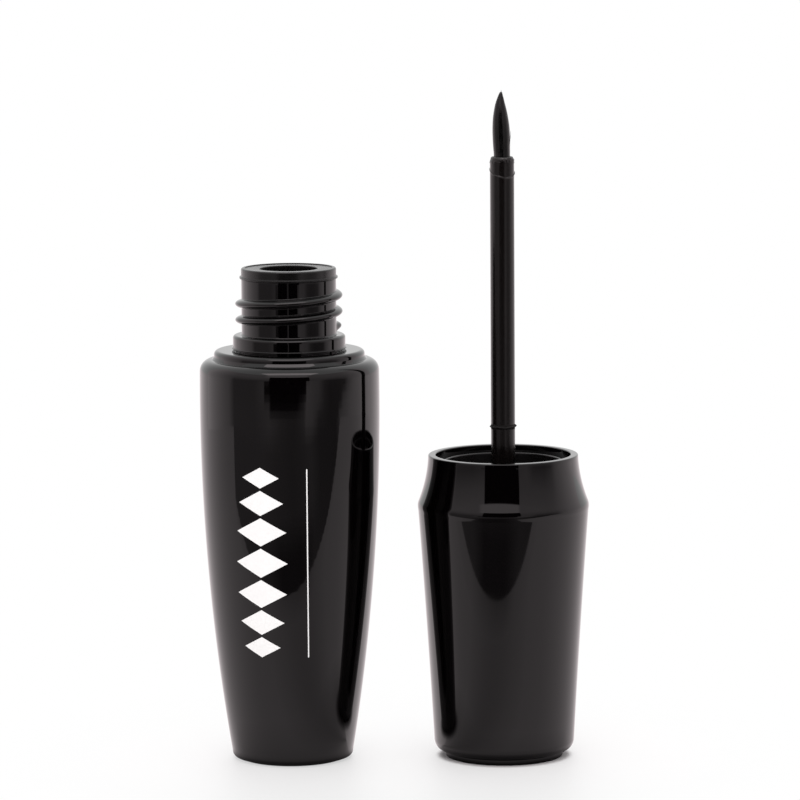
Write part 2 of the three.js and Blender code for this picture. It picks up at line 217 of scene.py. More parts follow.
paper = bpy.data.materials.new("white_paper_sweep")
floor.data.materials.append(paper)
tree = new_tree(paper)
ray = add_node(tree, "ShaderNodeLightPath")
place = add_node(tree, "ShaderNodeTexCoord").outputs["Object"]
gaps = []
for centre, radius in FEET:
    away = add_node(tree, "ShaderNodeVectorMath", {1: Vector((centre[0], centre[1], 0)) * MM},
                    {0: place}, operation="DISTANCE")
    gaps.append(add_node(tree, "ShaderNodeMapRange", {"From Min": radius * MM,
                         "From Max": (radius + SHADOW_REACH) * MM}, {"Value": away.outputs["Value"]}))
gap = add_node(tree, "ShaderNodeMath", links={0: gaps[0].outputs[0], 1: gaps[1].outputs[0]},
               operation="MINIMUM").outputs[0]
clear = add_node(tree, "ShaderNodeValToRGB", links={"Fac": gap}, stops=SHADOW_SHARES)
away = add_node(tree, "ShaderNodeVectorMath", {1: (stand_middle * MM, 0, 0)}, {0: place},
                operation="SUBTRACT").outputs[0]
reach = add_node(tree, "ShaderNodeVectorMath", links={0: away}, operation="LENGTH").outputs["Value"]
sheen_share = add_node(tree, "ShaderNodeMapRange",
                       {"From Min": SHEEN_FADE[0] * MM, "From Max": SHEEN_FADE[1] * MM,
                        "To Min": SHEEN_SHARE, "To Max": 0.0}, {"Value": reach})
matt = add_node(tree, "ShaderNodeBsdfDiffuse", {"Color": linear("#f8f3f4")})
white = add_node(tree, "ShaderNodeEmission", {"Color": linear("#ffffff"), "Strength": 1.0})
sheen = add_node(tree, "ShaderNodeBsdfGlossy", {"Color": linear("#ffffff"),
                 "Roughness": SHEEN_ROUGHNESS})
bright = add_node(tree, "ShaderNodeMixShader", links={0: sheen_share.outputs[0], 1: white.outputs[0],
                  2: sheen.outputs[0]})
share = add_node(tree, "ShaderNodeMath", links={0: ray.outputs["Is Camera Ray"],
                 1: clear.outputs["Color"]}, operation="MULTIPLY")
to_camera = add_node(tree, "ShaderNodeMixShader", links={0: share.outputs[0], 1: matt.outputs[0],
                     2: bright.outputs[0]})
print("the sheen ends", SHEEN_FADE[1], "mm from the middle of the stand")

# %% [markdown]
# In the black plastic the paper looks darker than that, most of all the part towards the camera,
# which gets the least light. So to reflections the paper glows at a painted tone of its own: painted
# light that grows from the front to the back and, in front, a painted shadow that falls off close to
# the feet. Right under an edge the painted shade is nearly black. That comes from an ambient
# occlusion node, which measures how much of the sky a point can't see, so the dark line goes away
# with the cap when the cap is lifted.

# %% Paper, as reflections see it
# Painted light: the tone the paper glows with in reflections, by bearing from the front (0) to the back
# (1).
FAR_PAPER_LIGHT = [(0.0, 0.5), (0.04, 0.6), (0.12, 0.72), (0.25, 0.74), (0.45, 0.76), (0.55, 0.82),
             (0.65, 0.92), (0.75, 1.0), (0.9, 1.15)]
NEAR_PAPER_LIGHT = [(0.0, 0.5), (0.04, 0.6), (0.12, 0.73), (0.25, 0.78), (0.4, 0.93), (0.5, 1.0), (0.9, 1.15)]
NEAR_AND_FAR = (25.0, 220.0)
MIRRORED_SHADOW = [(0.0, 0.55), (0.35, 0.85), (0.7, 1.0)]
NO_SHADOW_BEHIND = [(0.3, 0.5), (0.55, 1.0)]
PAINTED_CONTACT_SHADE = [(0.3, 0.1), (0.6, 0.35), (0.95, 1.0)]
CONTACT_REACH = 2.5
CONTACT_SAMPLES = 8

way = add_node(tree, "ShaderNodeVectorMath", links={0: away}, operation="NORMALIZE")
way = add_node(tree, "ShaderNodeSeparateXYZ", links={"Vector": way.outputs[0]})
back = add_node(tree, "ShaderNodeMapRange", {"From Min": -1.0}, {"Value": way.outputs["Y"]}).outputs[0]
# Painted shadow: the glow is darker close to the feet, though never behind them.
painted_shadow_near_feet = add_node(tree, "ShaderNodeValToRGB", links={"Fac": gap}, stops=MIRRORED_SHADOW)
behind = add_node(tree, "ShaderNodeValToRGB", links={"Fac": back}, stops=NO_SHADOW_BEHIND)
shadow = add_node(tree, "ShaderNodeMath", links={0: painted_shadow_near_feet.outputs["Color"],
                  1: behind.outputs["Color"]}, operation="MAXIMUM")
# Painted contact shade: ambient occlusion darkens the glow right under an edge.
open_above = add_node(tree, "ShaderNodeAmbientOcclusion", {"Distance": CONTACT_REACH * MM},
                      samples=CONTACT_SAMPLES)
painted_contact_shade = add_node(tree, "ShaderNodeValToRGB", links={"Fac": open_above.outputs["AO"]},
                   stops=PAINTED_CONTACT_SHADE)
shadow = add_node(tree, "ShaderNodeMath", links={0: shadow.outputs[0], 1: painted_contact_shade.outputs["Color"]},
                  operation="MULTIPLY")
far = add_node(tree, "ShaderNodeMapRange", {"From Min": NEAR_AND_FAR[0] * MM,
               "From Max": NEAR_AND_FAR[1] * MM}, {"Value": reach})
near_tone = add_node(tree, "ShaderNodeValToRGB", links={"Fac": back}, stops=NEAR_PAPER_LIGHT)
far_tone = add_node(tree, "ShaderNodeValToRGB", links={"Fac": back}, stops=FAR_PAPER_LIGHT)
tone = add_node(tree, "ShaderNodeMix", links={"Factor": far.outputs[0], "A": near_tone.outputs["Color"],
                "B": far_tone.outputs["Color"]}, data_type="FLOAT")
tone = add_node(tree, "ShaderNodeMath", links={0: tone.outputs["Result"], 1: shadow.outputs[0]},
                operation="MULTIPLY")
# The paper glows with this painted light and shade, for glossy rays only.
painted_paper_glow = add_node(tree, "ShaderNodeEmission", {"Color": linear("#fff5f7")},
                    {"Strength": tone.outputs[0]})
blend = add_node(tree, "ShaderNodeMixShader", links={0: ray.outputs["Is Glossy Ray"],
                 1: to_camera.outputs[0], 2: painted_paper_glow.outputs[0]})
add_node(tree, "ShaderNodeOutputMaterial", links={"Surface": blend.outputs[0]})
print("material", paper.name, "has", len(tree.nodes), "nodes")

# %% [markdown]
# Polished black plastic has almost no colour of its own: what we see on it is the room. So the
# room is modelled too, as sheets that only reflections show. The front of the tent is a curved wall
# of grey cloth with a dark opening for the camera, and white cloth hangs over the opening. The
# paper on the table ends a little way in front of the bottle, where the darker table begins, and a
# strip light hangs above the camera: it draws the bright lines along the shoulder and the neck.
# Each pair in a table of tones is a bearing, in degrees to the right of the camera's side, and the
# brightness there.

# %% Tones of the tent
TENT_RADIUS = 300.0
SILL_TONES = [(-125, 1.2), (-100, 0.93), (-82, 0.68), (-74, 0.28), (-46, 0.28), (-36, 0.33), (-27, 0.4),
              (-20, 0.33), (-12, 0.24), (-4, 0.2), (4, 0.19), (11, 0.24), (16.5, 0.31), (19, 0.55),
              (27, 0.5), (36, 0.2), (52, 0.13), (63, 0.14), (66, 0.5), (74, 0.6), (84, 0.78),
              (100, 0.9), (125, 1.15)]
LOW_TONES = [(-125, 1.2), (-100, 0.93), (-82, 0.68), (-74, 0.28), (-46, 0.28), (-27.5, 0.4),
             (-25, 0.01), (8, 0.01), (16, 0.2), (18.5, 0.4), (20, 0.6), (28, 0.5), (36, 0.4), (44, 0.2),
             (52, 0.13), (68, 0.14), (72, 0.5), (84, 0.78), (100, 0.9), (125, 1.15)]
FOOT_TONES = [(-125, 1.2), (-100, 0.93), (-82, 0.66), (-74, 0.26), (-46, 0.27), (-33.5, 0.42),
              (-32.5, 0.003), (19.3, 0.003), (20.3, 0.62), (28, 0.52), (36, 0.45), (44, 0.2),
              (52, 0.13), (74, 0.15), (80, 0.5), (90, 0.82), (100, 0.92), (125, 1.15)]
MIDDLE_TONES = [(-125, 1.15), (-100, 0.93), (-80, 0.62), (-74, 0.27), (-46, 0.27), (-27, 0.34),
                (-26, 0.003), (23.5, 0.003), (24.5, 0.42), (36, 0.45), (46, 0.27), (64, 0.25),
                (76, 0.4), (84, 0.7), (100, 0.9), (125, 1.0)]
UPPER_TONES = [(-125, 1.15), (-100, 0.93), (-80, 0.62), (-72, 0.5), (-27, 0.55), (-26, 0.003),
               (24, 0.003), (25, 0.5), (64, 0.5), (76, 0.55), (84, 0.7), (100, 0.9), (125, 1.0)]
TOP_TONES = [(-125, 1.15), (-100, 0.93), (-75, 0.66), (-27, 0.66), (-26, 0.003), (24, 0.003), (25, 0.6),
             (70, 0.6), (85, 0.75), (100, 0.9), (125, 1.0)]
BROW_TONES = [(-125, 1.15), (-100, 0.93), (-75, 0.68), (-36, 0.66), (-30, 1.0), (22, 1.0), (26, 0.62),
              (70, 0.62), (85, 0.75), (100, 0.9), (125, 1.0)]
TENT_ROWS = [(0, SILL_TONES), (1.5, SILL_TONES), (7.5, LOW_TONES), (14, FOOT_TONES), (40, MIDDLE_TONES),
             (110, UPPER_TONES), (180, TOP_TONES), (186, BROW_TONES), (330, BROW_TONES)]
print("tent", TENT_RADIUS, "mm away, with", len(TENT_ROWS), "rows of tones")

# %% Tones of the table
PAPER_FRONT = 73.5
PAPER_SLANT = 0.17
PAPER_TONES = [(-75, 0.74), (-40, 0.7), (-24, 0.6), (-8, 0.52), (8, 0.52), (24, 0.6), (40, 0.7),
               (72, 0.74)]
EDGE_TONES = [(-75, 0.72), (-40, 0.66), (-22, 0.46), (0, 0.34), (12, 0.36), (24, 0.58), (40, 0.68),
              (72, 0.72)]
NEAR_TONES = [(-75, 0.25), (-36, 0.2), (-20, 0.07), (8, 0.065), (14, 0.09), (26, 0.17), (60, 0.13),
              (72, 0.5)]
FAR_TONES = [(-75, 0.25), (-36, 0.27), (-20, 0.22), (0, 0.175), (12, 0.2), (24, 0.25), (36, 0.15),
             (60, 0.13), (72, 0.5)]
# Painted shade: the table glows darker close to the paper's edge than further off.
TABLE_ROWS = [(-18, PAPER_TONES), (-0.5, EDGE_TONES), (0, NEAR_TONES), (22, NEAR_TONES),
              (60, FAR_TONES), (150, FAR_TONES), (TENT_RADIUS, SILL_TONES)]
TABLE_SPAN = (-76, 72)
TABLE_LIFT = 0.3
print("the paper ends", PAPER_FRONT, "mm in front of the stand")

# %% [markdown]
# Each sheet is a mesh whose points carry their tone as an attribute, and one glowing material reads
# it. A picture of the room would do the same, but on a mesh each edge of the room lies at a bearing
# and a height that are easy to move. The switches under Ray Visibility keep a sheet out of the
# camera's view and stop it from lighting matt surfaces.

# %% Points and tones of a sheet
BEARING_STEP = 3.0


def between(table, where):
    """Reads a table of (place, value) pairs, with straight lines from pair to pair."""
    for (left, low), (right, high) in zip(table, table[1:]):
        if left <= where <= right:
            return low + (high - low) * (where - left) / (right - left)
    return table[0][1] if where < table[0][0] else table[-1][1]


def bearings(rows):
    """Every bearing that the rows' tables name, and enough others for a smooth curve."""
    named = {bearing for _, tones in rows for bearing, _ in tones}
    count = math.ceil((max(named) - min(named)) / BEARING_STEP)
    even = {min(named) + (max(named) - min(named)) * i / count for i in range(count + 1)}
    return sorted(named | even)


def at_bearing(bearing, reach, height):
    """A point that far from the middle of the stand."""
    angle = math.radians(bearing)
    return (stand_middle + reach * math.sin(angle), -reach * math.cos(angle), height)


def paper_edge(bearing):
    """How far off the paper's straight front edge lies, at most as far as the tent."""
    angle = math.radians(bearing)
    facing = math.cos(angle) - PAPER_SLANT * math.sin(angle)
    if facing * TENT_RADIUS <= PAPER_FRONT:
        return TENT_RADIUS
    return PAPER_FRONT / facing


print("a sheet has a point at least every", BEARING_STEP, "degrees")

# %% Sheets that only reflections see
cloth = bpy.data.materials.new("tent_cloth")
tree = new_tree(cloth)
tone = add_node(tree, "ShaderNodeAttribute", attribute_name="tone")
glow = add_node(tree, "ShaderNodeEmission", {"Color": linear("#fff5f7")},
                {"Strength": tone.outputs["Fac"]})
add_node(tree, "ShaderNodeOutputMaterial", links={"Surface": glow.outputs[0]})


def reflected_sheet(name, rows, tones):
    """A glowing sheet through rows of points, with a tone for each point."""
    width = len(rows[0])
    starts = [row * width + i for row in range(len(rows) - 1) for i in range(width - 1)]
    sheet = flat_mesh(name, [p for row in rows for p in row],
                      [(a, a + 1, a + width + 1, a + width) for a in starts])
    tone = sheet.data.attributes.new("tone", "FLOAT", "POINT")
    tone.data.foreach_set("value", [t for row in tones for t in row])
    sheet.visible_camera = False
    sheet.visible_diffuse = False
    sheet.visible_shadow = False
    sheet.data.materials.append(cloth)
    print(name, "has", len(starts), "faces")


print("material", cloth.name)

# %% Hang the room
STRIP_TONE = 3.0
STRIP_HEIGHT = 650.0
STRIP_HALF_LENGTH = 330.0
STRIP_EDGES = (-510.0, -222.0)

around = bearings(TENT_ROWS)
reflected_sheet("tent_front",
                [[at_bearing(b, TENT_RADIUS, height) for b in around] for height, _ in TENT_ROWS],
                [[between(tones, b) for b in around] for _, tones in TENT_ROWS])
around = [b for b in bearings(TABLE_ROWS) if TABLE_SPAN[0] <= b <= TABLE_SPAN[1]]
reflected_sheet("table_front",
                [[at_bearing(b, min(TENT_RADIUS, paper_edge(b) + depth), TABLE_LIFT) for b in around]
                 for depth, _ in TABLE_ROWS],
                [[between(tones, b) for b in around] for _, tones in TABLE_ROWS])
strip = [[(stand_middle + side * STRIP_HALF_LENGTH, edge, STRIP_HEIGHT) for side in (-1, 1)]
         for edge in STRIP_EDGES]
reflected_sheet("strip_light", strip, [[STRIP_TONE] * 2] * 2)

# %% [markdown]
# Two big soft lamps fill in for the lights outside the tent. They are as large as softboxes, so
# shadows stay faint. The one behind draws the shadows towards the camera, and the one in front
# lights the print. Reflections don't show them, because the tent's cloth would hide them.

# %% Lamps


def softbox(name, place, aim, side, watts):
    """A square lamp, placed and sized in millimetres, that reflections don't show."""
    lamp = bpy.data.lights.new(name, "AREA")
    lamp.shape = "SQUARE"
    lamp.size = side * MM
    lamp.energy = watts
    holder = bpy.data.objects.new(name, lamp)
    holder.location = Vector(place) * MM
    holder.rotation_euler = (Vector(aim) - Vector(place)).to_track_quat("-Z", "Y").to_euler()
    holder.visible_glossy = False
    bpy.context.scene.collection.objects.link(holder)


softbox("back_softbox", place=(13, 620, 520), aim=(13, 0, 10), side=500, watts=2.5)
softbox("front_softbox", place=(13, -700, 520), aim=(13, 0, 40), side=600, watts=2.8)
bpy.context.scene.view_settings.view_transform = "Standard"
print("two softboxes")

# %% [markdown]
# ## Turned skins
# Almost every piece here is round, so it can be drawn as half an outline and spun about its axis,
# as on a lathe. Blender's Screw modifier does that too, but here the outline's corners are rounded
# first, each with its own radius, and a thread or a seam can push the surface in or out on the way
# round, so the spin is written as a short function. Rounded corners matter most on black plastic:
# a sharp edge catches no light, and a real moulding has none.

# %% Outlines with rounded corners
CORNER_STEPS = 6
BRACE = 0.12
CRISP_EDGE = 0.05
KEEN_EDGE = 0.08
SOFT_EDGE = 0.1
FILLET = 0.2
WIDE_FILLET = 0.3


def rounded(corners, ring=False):
    """Outline points from corners of (radius, height, rounding) in millimetres."""
    points = [Vector(c[:2]) for c in corners]
    outline = []
    for i, (here, corner) in enumerate(zip(points, corners)):
        ends = i in (0, len(points) - 1) and not ring
        if ends or len(corner) < 3:
            outline.append(here)
            continue
        back = (points[i - 1] - here).normalized()
        ahead = (points[(i + 1) % len(points)] - here).normalized()
        half_angle = back.angle(ahead) / 2
        centre = here + (back + ahead).normalized() * corner[2] / math.sin(half_angle)
        first = here + back * corner[2] / math.tan(half_angle) - centre
        last = here + ahead * corner[2] / math.tan(half_angle) - centre
        for step in range(CORNER_STEPS + 1):
            outline.append(centre + first.slerp(last, step / CORNER_STEPS) * corner[2])
    return braced(outline, ring)


def braced(outline, ring):
    """Adds a point close to each end of a straight stretch, so that smooth shading stays flat there."""
    result = []
    for here, after in zip(outline, outline[1:] + outline[:1]):
        result.append(here)
        stretch = after - here
        if stretch.length > 4 * BRACE and (ring or after is not outline[0]):
            result += [here + stretch.normalized() * BRACE, after - stretch.normalized() * BRACE]
    return result


print("a rounded corner has", CORNER_STEPS + 1, "points")

# %% Lathe
COLUMNS = 160
SAME = 1e-4
TAU = 2 * math.pi


def smooth_mesh(name, points, faces):
    """A mesh object with smooth shading."""
    piece = flat_mesh(name, points, faces)
    piece.data.polygons.foreach_set("use_smooth", [True] * len(faces))
    piece.data.update()
    return piece


def turned(name, outline, axis=(0, 0), angles=None, shift=None, ring=False):
    """Spins an outline about a vertical axis. shift(angle, radius, height) moves the surface outwards."""
    angles = angles or [TAU * i / COLUMNS for i in range(COLUMNS)]
    points, rows, faces = [], [], []
    for radius, height in outline:
        around = angles if radius > SAME else [0.0]
        rows.append(range(len(points), len(points) + len(around)))
        for angle in around:
            reach = radius + (shift(angle, radius, height) if shift else 0)
            points.append((axis[0] + reach * math.cos(angle), axis[1] + reach * math.sin(angle), height))
    for low, high in zip(rows, [*rows[1:], rows[0]] if ring else rows[1:]):
        for i in range(len(angles)):
            j = (i + 1) % len(angles)
            if len(low) == 1:
                faces.append((low[0], high[j], high[i]))
            elif len(high) == 1:
                faces.append((low[i], low[j], high[0]))
            else:
                faces.append((low[i], low[j], high[j], high[i]))
    return smooth_mesh(name, points, faces)


print("a turned skin has", COLUMNS, "columns")

# %% [markdown]
# A skin moves with the CAD body that it belongs to, so that the cap can be lifted and the ball can
# roll, and it hides the CAD nodes that it stands for. One function does this for every piece.

# %% Finish and body of a piece


def dress(piece, body, slot, material, *nodes):
    """Gives a piece its finish, ties it to its CAD body, and lets it stand for CAD nodes."""
    piece.data.materials.append(material)
    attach(piece, body)
    if nodes:
        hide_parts(*nodes)
    print(piece.name, "has", len(piece.data.polygons), "faces on body", body)


# %% [markdown]
# ## Black gloss
# The bottle is PETG, blown in a polished steel mould, and the overcap is ABS, moulded in another.
# Both are coloured right through with carbon black. The eye gets three things from that: a
# mirror-like gloss with a refractive index near 1.5, slow waves in the reflections where the
# plastic shrank unevenly, and a faint haze from handling. The waves are drawn by a bump map of
# soft noise, and the haze by a roughness that wanders a little.

# %% Polished PETG and ABS


def per_mm(size):
    """A noise scale whose lumps are about that many millimetres wide."""
    return 1 / (size * MM)


def moulded_plastic(name, dark, light, roughness, relief_size, relief_height, relief_detail,
                    cloud_size, cloud_detail, cloud_levels):
    """A plastic whose colour and roughness wander in soft clouds, over a shallow relief."""
    material = bpy.data.materials.new(name)
    tree = new_tree(material)
    place = add_node(tree, "ShaderNodeTexCoord").outputs["Object"]
    cloud = add_node(tree, "ShaderNodeTexNoise", {"Scale": per_mm(cloud_size), "Detail": cloud_detail},
                     {"Vector": place})
    shade = add_node(tree, "ShaderNodeMix", {"A": linear(dark), "B": linear(light)},
                     {"Factor": cloud.outputs["Fac"]}, data_type="RGBA")
    rub = add_node(tree, "ShaderNodeMapRange", {"From Min": cloud_levels[0], "From Max": cloud_levels[1],
                   "To Min": roughness[0], "To Max": roughness[1]}, {"Value": cloud.outputs["Fac"]})
    wave = add_node(tree, "ShaderNodeTexNoise", {"Scale": per_mm(relief_size), "Detail": relief_detail},
                    {"Vector": place})
    relief = add_node(tree, "ShaderNodeBump", {"Strength": 1.0, "Distance": relief_height * MM},
                      {"Height": wave.outputs["Fac"]})
    skin = add_node(tree, "ShaderNodeBsdfPrincipled", {"IOR": 1.5},
                    {"Base Color": shade.outputs["Result"], "Roughness": rub.outputs[0],
                     "Normal": relief.outputs[0]})
    add_node(tree, "ShaderNodeOutputMaterial", links={"Surface": skin.outputs[0]})
    return material


POLISHED = {"relief_height": 0.006, "relief_detail": 1, "cloud_size": 4.0, "cloud_detail": 4,
            "cloud_levels": (0.35, 0.75)}
polished_petg = moulded_plastic("PETG_black_blown_polished", "#020102", "#030202",
                                roughness=(0.03, 0.06), relief_size=9.0, **POLISHED)
polished_abs = moulded_plastic("ABS_black_moulded_polished", "#020102", "#030202",
                               roughness=(0.03, 0.055), relief_size=11.0, **POLISHED)
print("materials", polished_petg.name, polished_abs.name)

# %% [markdown]
# ## Bottle
# A long barrel that swells towards a rounded shoulder, then steps in to a seat for the cap, a
# bead, and the screw neck. The thread could be a separate coil laid on the neck, but a moulded
# thread grows out of the wall with a soft foot. So the neck's rows are close together and the
# thread is a shift of the surface: its height depends on how far a point lies from the helix, and
# it fades at both ends of its two and a quarter turns. The parting seam is made the same way, as a
# very fine raised line where the two halves of the mould met.

# %% Barrel
BARREL_CURVE = 266.0
WIDEST_HEIGHT = 44.0


def barrel_r(height, inset=0.0):
    """Radius of the barrel at a height, or of a surface set in from it."""
    curve = BARREL_CURVE - inset
    return body_r - BARREL_CURVE + math.sqrt(curve ** 2 - (height - WIDEST_HEIGHT) ** 2)


def levels(low, high, spacing):
    """Even steps from low to high, about that far apart."""
    count = round((high - low) / spacing)
    return [low + (high - low) * i / count for i in range(count + 1)]


print(f"barrel {2 * barrel_r(0):.2f} mm wide at the foot, and {2 * body_r:.2f} at its widest")

# %% Bottle outline
BODY_HEIGHT = 49.0
FOOT_R = 6.31
FOOT_HEIGHT = 0.2
HEEL_ROUND = 0.6
SHOULDER_ROUND = 1.4
WALL = 1.2
FLOOR_WALL = 1.3
SEAT_R = 9.13
SEAT_TOP = 50.1
SEAT_EDGE = 0.5
SEAT_FLARE = 0.25
SEAT_FLARE_TOP = 49.37
BEAD_GROOVE_R = 6.51
BEAD_FOOT = 50.28
BEAD_LIP_R = 6.94
BEAD_LIP_TOP = 50.48
BEAD_R = 6.81
BEAD_TOP = 51.95
BEAD_ROUND = 0.35
LIP_EDGE = 0.06
STEP_EDGE = 0.02
NECK_R = 5.74
NECK_BORE_R = 4.55
NECK_EDGE = 0.12
NECK_MARGIN = 0.3
NECK_ROW = 0.05
BORE_ROUND = 0.4
INSIDE_ROUND = 1.4
INSIDE_SPAN = (3.5, 45.5)
INSIDE_ROW = 3.0
BARREL_SPAN = (2.0, 47.0)
BARREL_ROW = 1.0

inside_top = BODY_HEIGHT - WALL
bottle_corners = [
    (0, 0),
    (FOOT_R, 0, CRISP_EDGE),
    (FOOT_R, FOOT_HEIGHT, CRISP_EDGE),
    (barrel_r(FOOT_HEIGHT), FOOT_HEIGHT, HEEL_ROUND),
    *[(barrel_r(z), z) for z in levels(*BARREL_SPAN, BARREL_ROW)],
    (barrel_r(BODY_HEIGHT), BODY_HEIGHT, SHOULDER_ROUND),
    (SEAT_R + SEAT_FLARE, BODY_HEIGHT, KEEN_EDGE),
    (SEAT_R, SEAT_FLARE_TOP, KEEN_EDGE),
    (SEAT_R, SEAT_TOP, SEAT_EDGE),
    (BEAD_GROOVE_R, SEAT_TOP, CRISP_EDGE),
    (BEAD_GROOVE_R, BEAD_FOOT, CRISP_EDGE),
    (BEAD_LIP_R, BEAD_FOOT, LIP_EDGE),
    (BEAD_LIP_R, BEAD_LIP_TOP, KEEN_EDGE),
    (BEAD_R, BEAD_LIP_TOP, STEP_EDGE),
    (BEAD_R, BEAD_TOP, BEAD_ROUND),
    (NECK_R, BEAD_TOP, FILLET),
    *[(NECK_R, z) for z in levels(BEAD_TOP + NECK_MARGIN, neck_top - NECK_MARGIN, NECK_ROW)],
    (NECK_R, neck_top, NECK_EDGE),
    (NECK_BORE_R, neck_top, NECK_EDGE),
    (NECK_BORE_R, inside_top, BORE_ROUND),
    (barrel_r(inside_top, WALL), inside_top, INSIDE_ROUND),
    *[(barrel_r(z, WALL), z) for z in levels(*INSIDE_SPAN, INSIDE_ROW)],
    (barrel_r(FLOOR_WALL, WALL), FLOOR_WALL, INSIDE_ROUND),
    (0, FLOOR_WALL),
]
bottle_outline = rounded(bottle_corners)
print("bottle outline of", len(bottle_outline), "points")

# %% Thread
THREAD_START = 52.76
THREAD_LEAD = 0.02
THREAD_PITCH = 1.95
THREAD_TURNS = 2.27
THREAD_DEPTH = 0.76
THREAD_FOOT = 0.55
THREAD_ROUNDNESS = 0.75
THREAD_RUN_OUT = 0.06


def eased(share):
    """A share of the way from 0 to 1, with a soft start and a soft stop."""
    share = min(1.0, max(0.0, share))
    return share * share * (3 - 2 * share)


def thread_share(angle, height, start, turns):
    """How much of its full height the thread has at this point, 0 to 1."""
    share = 0.0
    for lap in range(math.ceil(turns)):
        along = lap + (angle / TAU + THREAD_LEAD) % 1
        away = abs(height - start - THREAD_PITCH * along) / THREAD_FOOT
        flank = max(0.0, 1 - away * away) ** THREAD_ROUNDNESS
        run_out = eased(min(along, turns - along) / THREAD_RUN_OUT)
        share = max(share, flank * run_out)
    return share


print("thread of", THREAD_TURNS, "turns at", THREAD_PITCH, "mm")

# %% Seam and bottle
SEAM_HEIGHT = 0.025
SEAM_HALF_WIDTH = 0.9
SEAM_FOOT = 47.0
SEAM_BEARINGS = (90, 270)
SEAM_COLUMNS = (0.35, 0.7, 1.05)
CLEAR_OF_BORE = 0.5


def seam_share(angle):
    """How much of its full height the parting seam has: it runs up the front and the back."""
    away = abs(math.degrees(angle) % 180 - 90)
    return eased(1 - away / SEAM_HALF_WIDTH)


def bottle_shift(angle, radius, height):
    """How far the seam and the thread stand out from the bottle's skin."""
    outward = 0.0
    if height > SEAM_FOOT and radius > NECK_BORE_R + CLEAR_OF_BORE:
        outward += SEAM_HEIGHT * seam_share(angle) * eased(height - SEAM_FOOT)
    if abs(radius - NECK_R) < SAME:
        outward += THREAD_DEPTH * thread_share(angle, height, THREAD_START, THREAD_TURNS)
    return outward


seam_angles = [math.radians(bearing + side * share * SEAM_HALF_WIDTH)
               for bearing in SEAM_BEARINGS for side in (-1, 1) for share in SEAM_COLUMNS]
bottle_angles = sorted([TAU * i / COLUMNS for i in range(COLUMNS)] + seam_angles)
bottle = turned("bottle_shell", bottle_outline, angles=bottle_angles, shift=bottle_shift)
dress(bottle, "bottle", "gloss_black", polished_petg, "bottle")

# %% [markdown]
# ## Satin black
# The wiper in the neck is low-density polyethylene, and the inner cap and the rod are
# polypropylene and acetal. All are moulded in fine-blasted steel, so they have a satin skin: the
# same reflections as the gloss, but spread out until only soft bands are left. The same function
# serves. A roughness near 0.3 spreads them, and in place of the slow waves a fine grain breaks them
# up. Blasting leaves pits of about 0.05 mm, too fine to show here, so they are drawn at 0.12 mm.

# %% Satin plastics
SATIN = {"relief_size": 0.12, "relief_detail": 2, "cloud_size": 2.5, "cloud_detail": 5,
         "cloud_levels": (0.3, 0.7)}
satin_ldpe = moulded_plastic("LDPE_charcoal_moulded_satin", "#060505", "#0a0909",
                             roughness=(0.22, 0.3), relief_height=0.004, **SATIN)
satin_pp = moulded_plastic("PP_black_moulded_satin", "#080707", "#0e0c0d",
                           roughness=(0.24, 0.34), relief_height=0.003, **SATIN)
print("materials", satin_ldpe.name, satin_pp.name)

# %% [markdown]
# ## Neck wiper
# A soft plug pressed into the neck. Its flange lies on the neck's rim, with a fine raised edge, its
# sleeve grips the bore, and its nose narrows to a hole that wipes spare ink off the rod each time it
# is drawn out. Only the flange shows, but the whole plug is turned, so that a look down the neck
# meets the real hole.

# %% Neck wiper
SLEEVE_R = 4.5
WIPER_BORE_R = 3.5
WIPER_HOLE_R = 1.48
FLANGE_LIP_R = 5.94
RIM_INNER_R = 5.3
RIM_DEPTH = 0.1
RIM_EDGE = 0.03
FLANGE_LIP_HEIGHT = 0.25
SLEEVE_LENGTH = 6.0
HOLE_DEPTH = 11.65
NOSE_LENGTH = 12.15
NOSE_WALL = 0.55

wiper_corners = [
    (SLEEVE_R, neck_top, CRISP_EDGE),
    (FLANGE_LIP_R, neck_top, LIP_EDGE),
    (FLANGE_LIP_R, neck_top + FLANGE_LIP_HEIGHT, KEEN_EDGE),
    (NECK_R, neck_top + FLANGE_LIP_HEIGHT, CRISP_EDGE),
    (NECK_R, flange_top, FILLET),
    (RIM_INNER_R, flange_top, RIM_EDGE),
    (RIM_INNER_R, flange_top - RIM_DEPTH, RIM_EDGE),
    (WIPER_BORE_R, flange_top - RIM_DEPTH, SOFT_EDGE),
    (WIPER_BORE_R, neck_top - SLEEVE_LENGTH, FILLET),
    (WIPER_HOLE_R, neck_top - HOLE_DEPTH, CRISP_EDGE),
    (WIPER_HOLE_R, neck_top - NOSE_LENGTH, SOFT_EDGE),
    (WIPER_HOLE_R + NOSE_WALL, neck_top - NOSE_LENGTH, SOFT_EDGE),
    (SLEEVE_R, neck_top - SLEEVE_LENGTH, FILLET),
]
wiper = turned("neck_wiper_plug", rounded(wiper_corners, ring=True), ring=True)
dress(wiper, "bottle", "satin_charcoal", satin_ldpe, "neck_wiper")

# %% [markdown]
# ## Overcap
# The outer shell that the fingers hold: a tapered flank, a fine ridge, and a hollow collar that
# narrows to the mouth. Its flank dips by less than a tenth of a millimetre, which is why its
# reflections bow in, and it stands on a foot that is set in from the side, so a dark line runs
# round under it. Six ribs inside, which the closed cap never shows, grip the inner cap. They are
# flat plates with one outline, so each is that outline drawn twice and joined.

# %% Curves of the overcap
MOUTH_R = 9.09
CAP_END_R = 8.43
RIDGE_HEIGHT = 30.94
RIDGE_PROUD = 0.06
COLLAR_FOOT = 31.05
COLLAR_LEAN = 0.65
FLANK_HOLLOW = 0.08


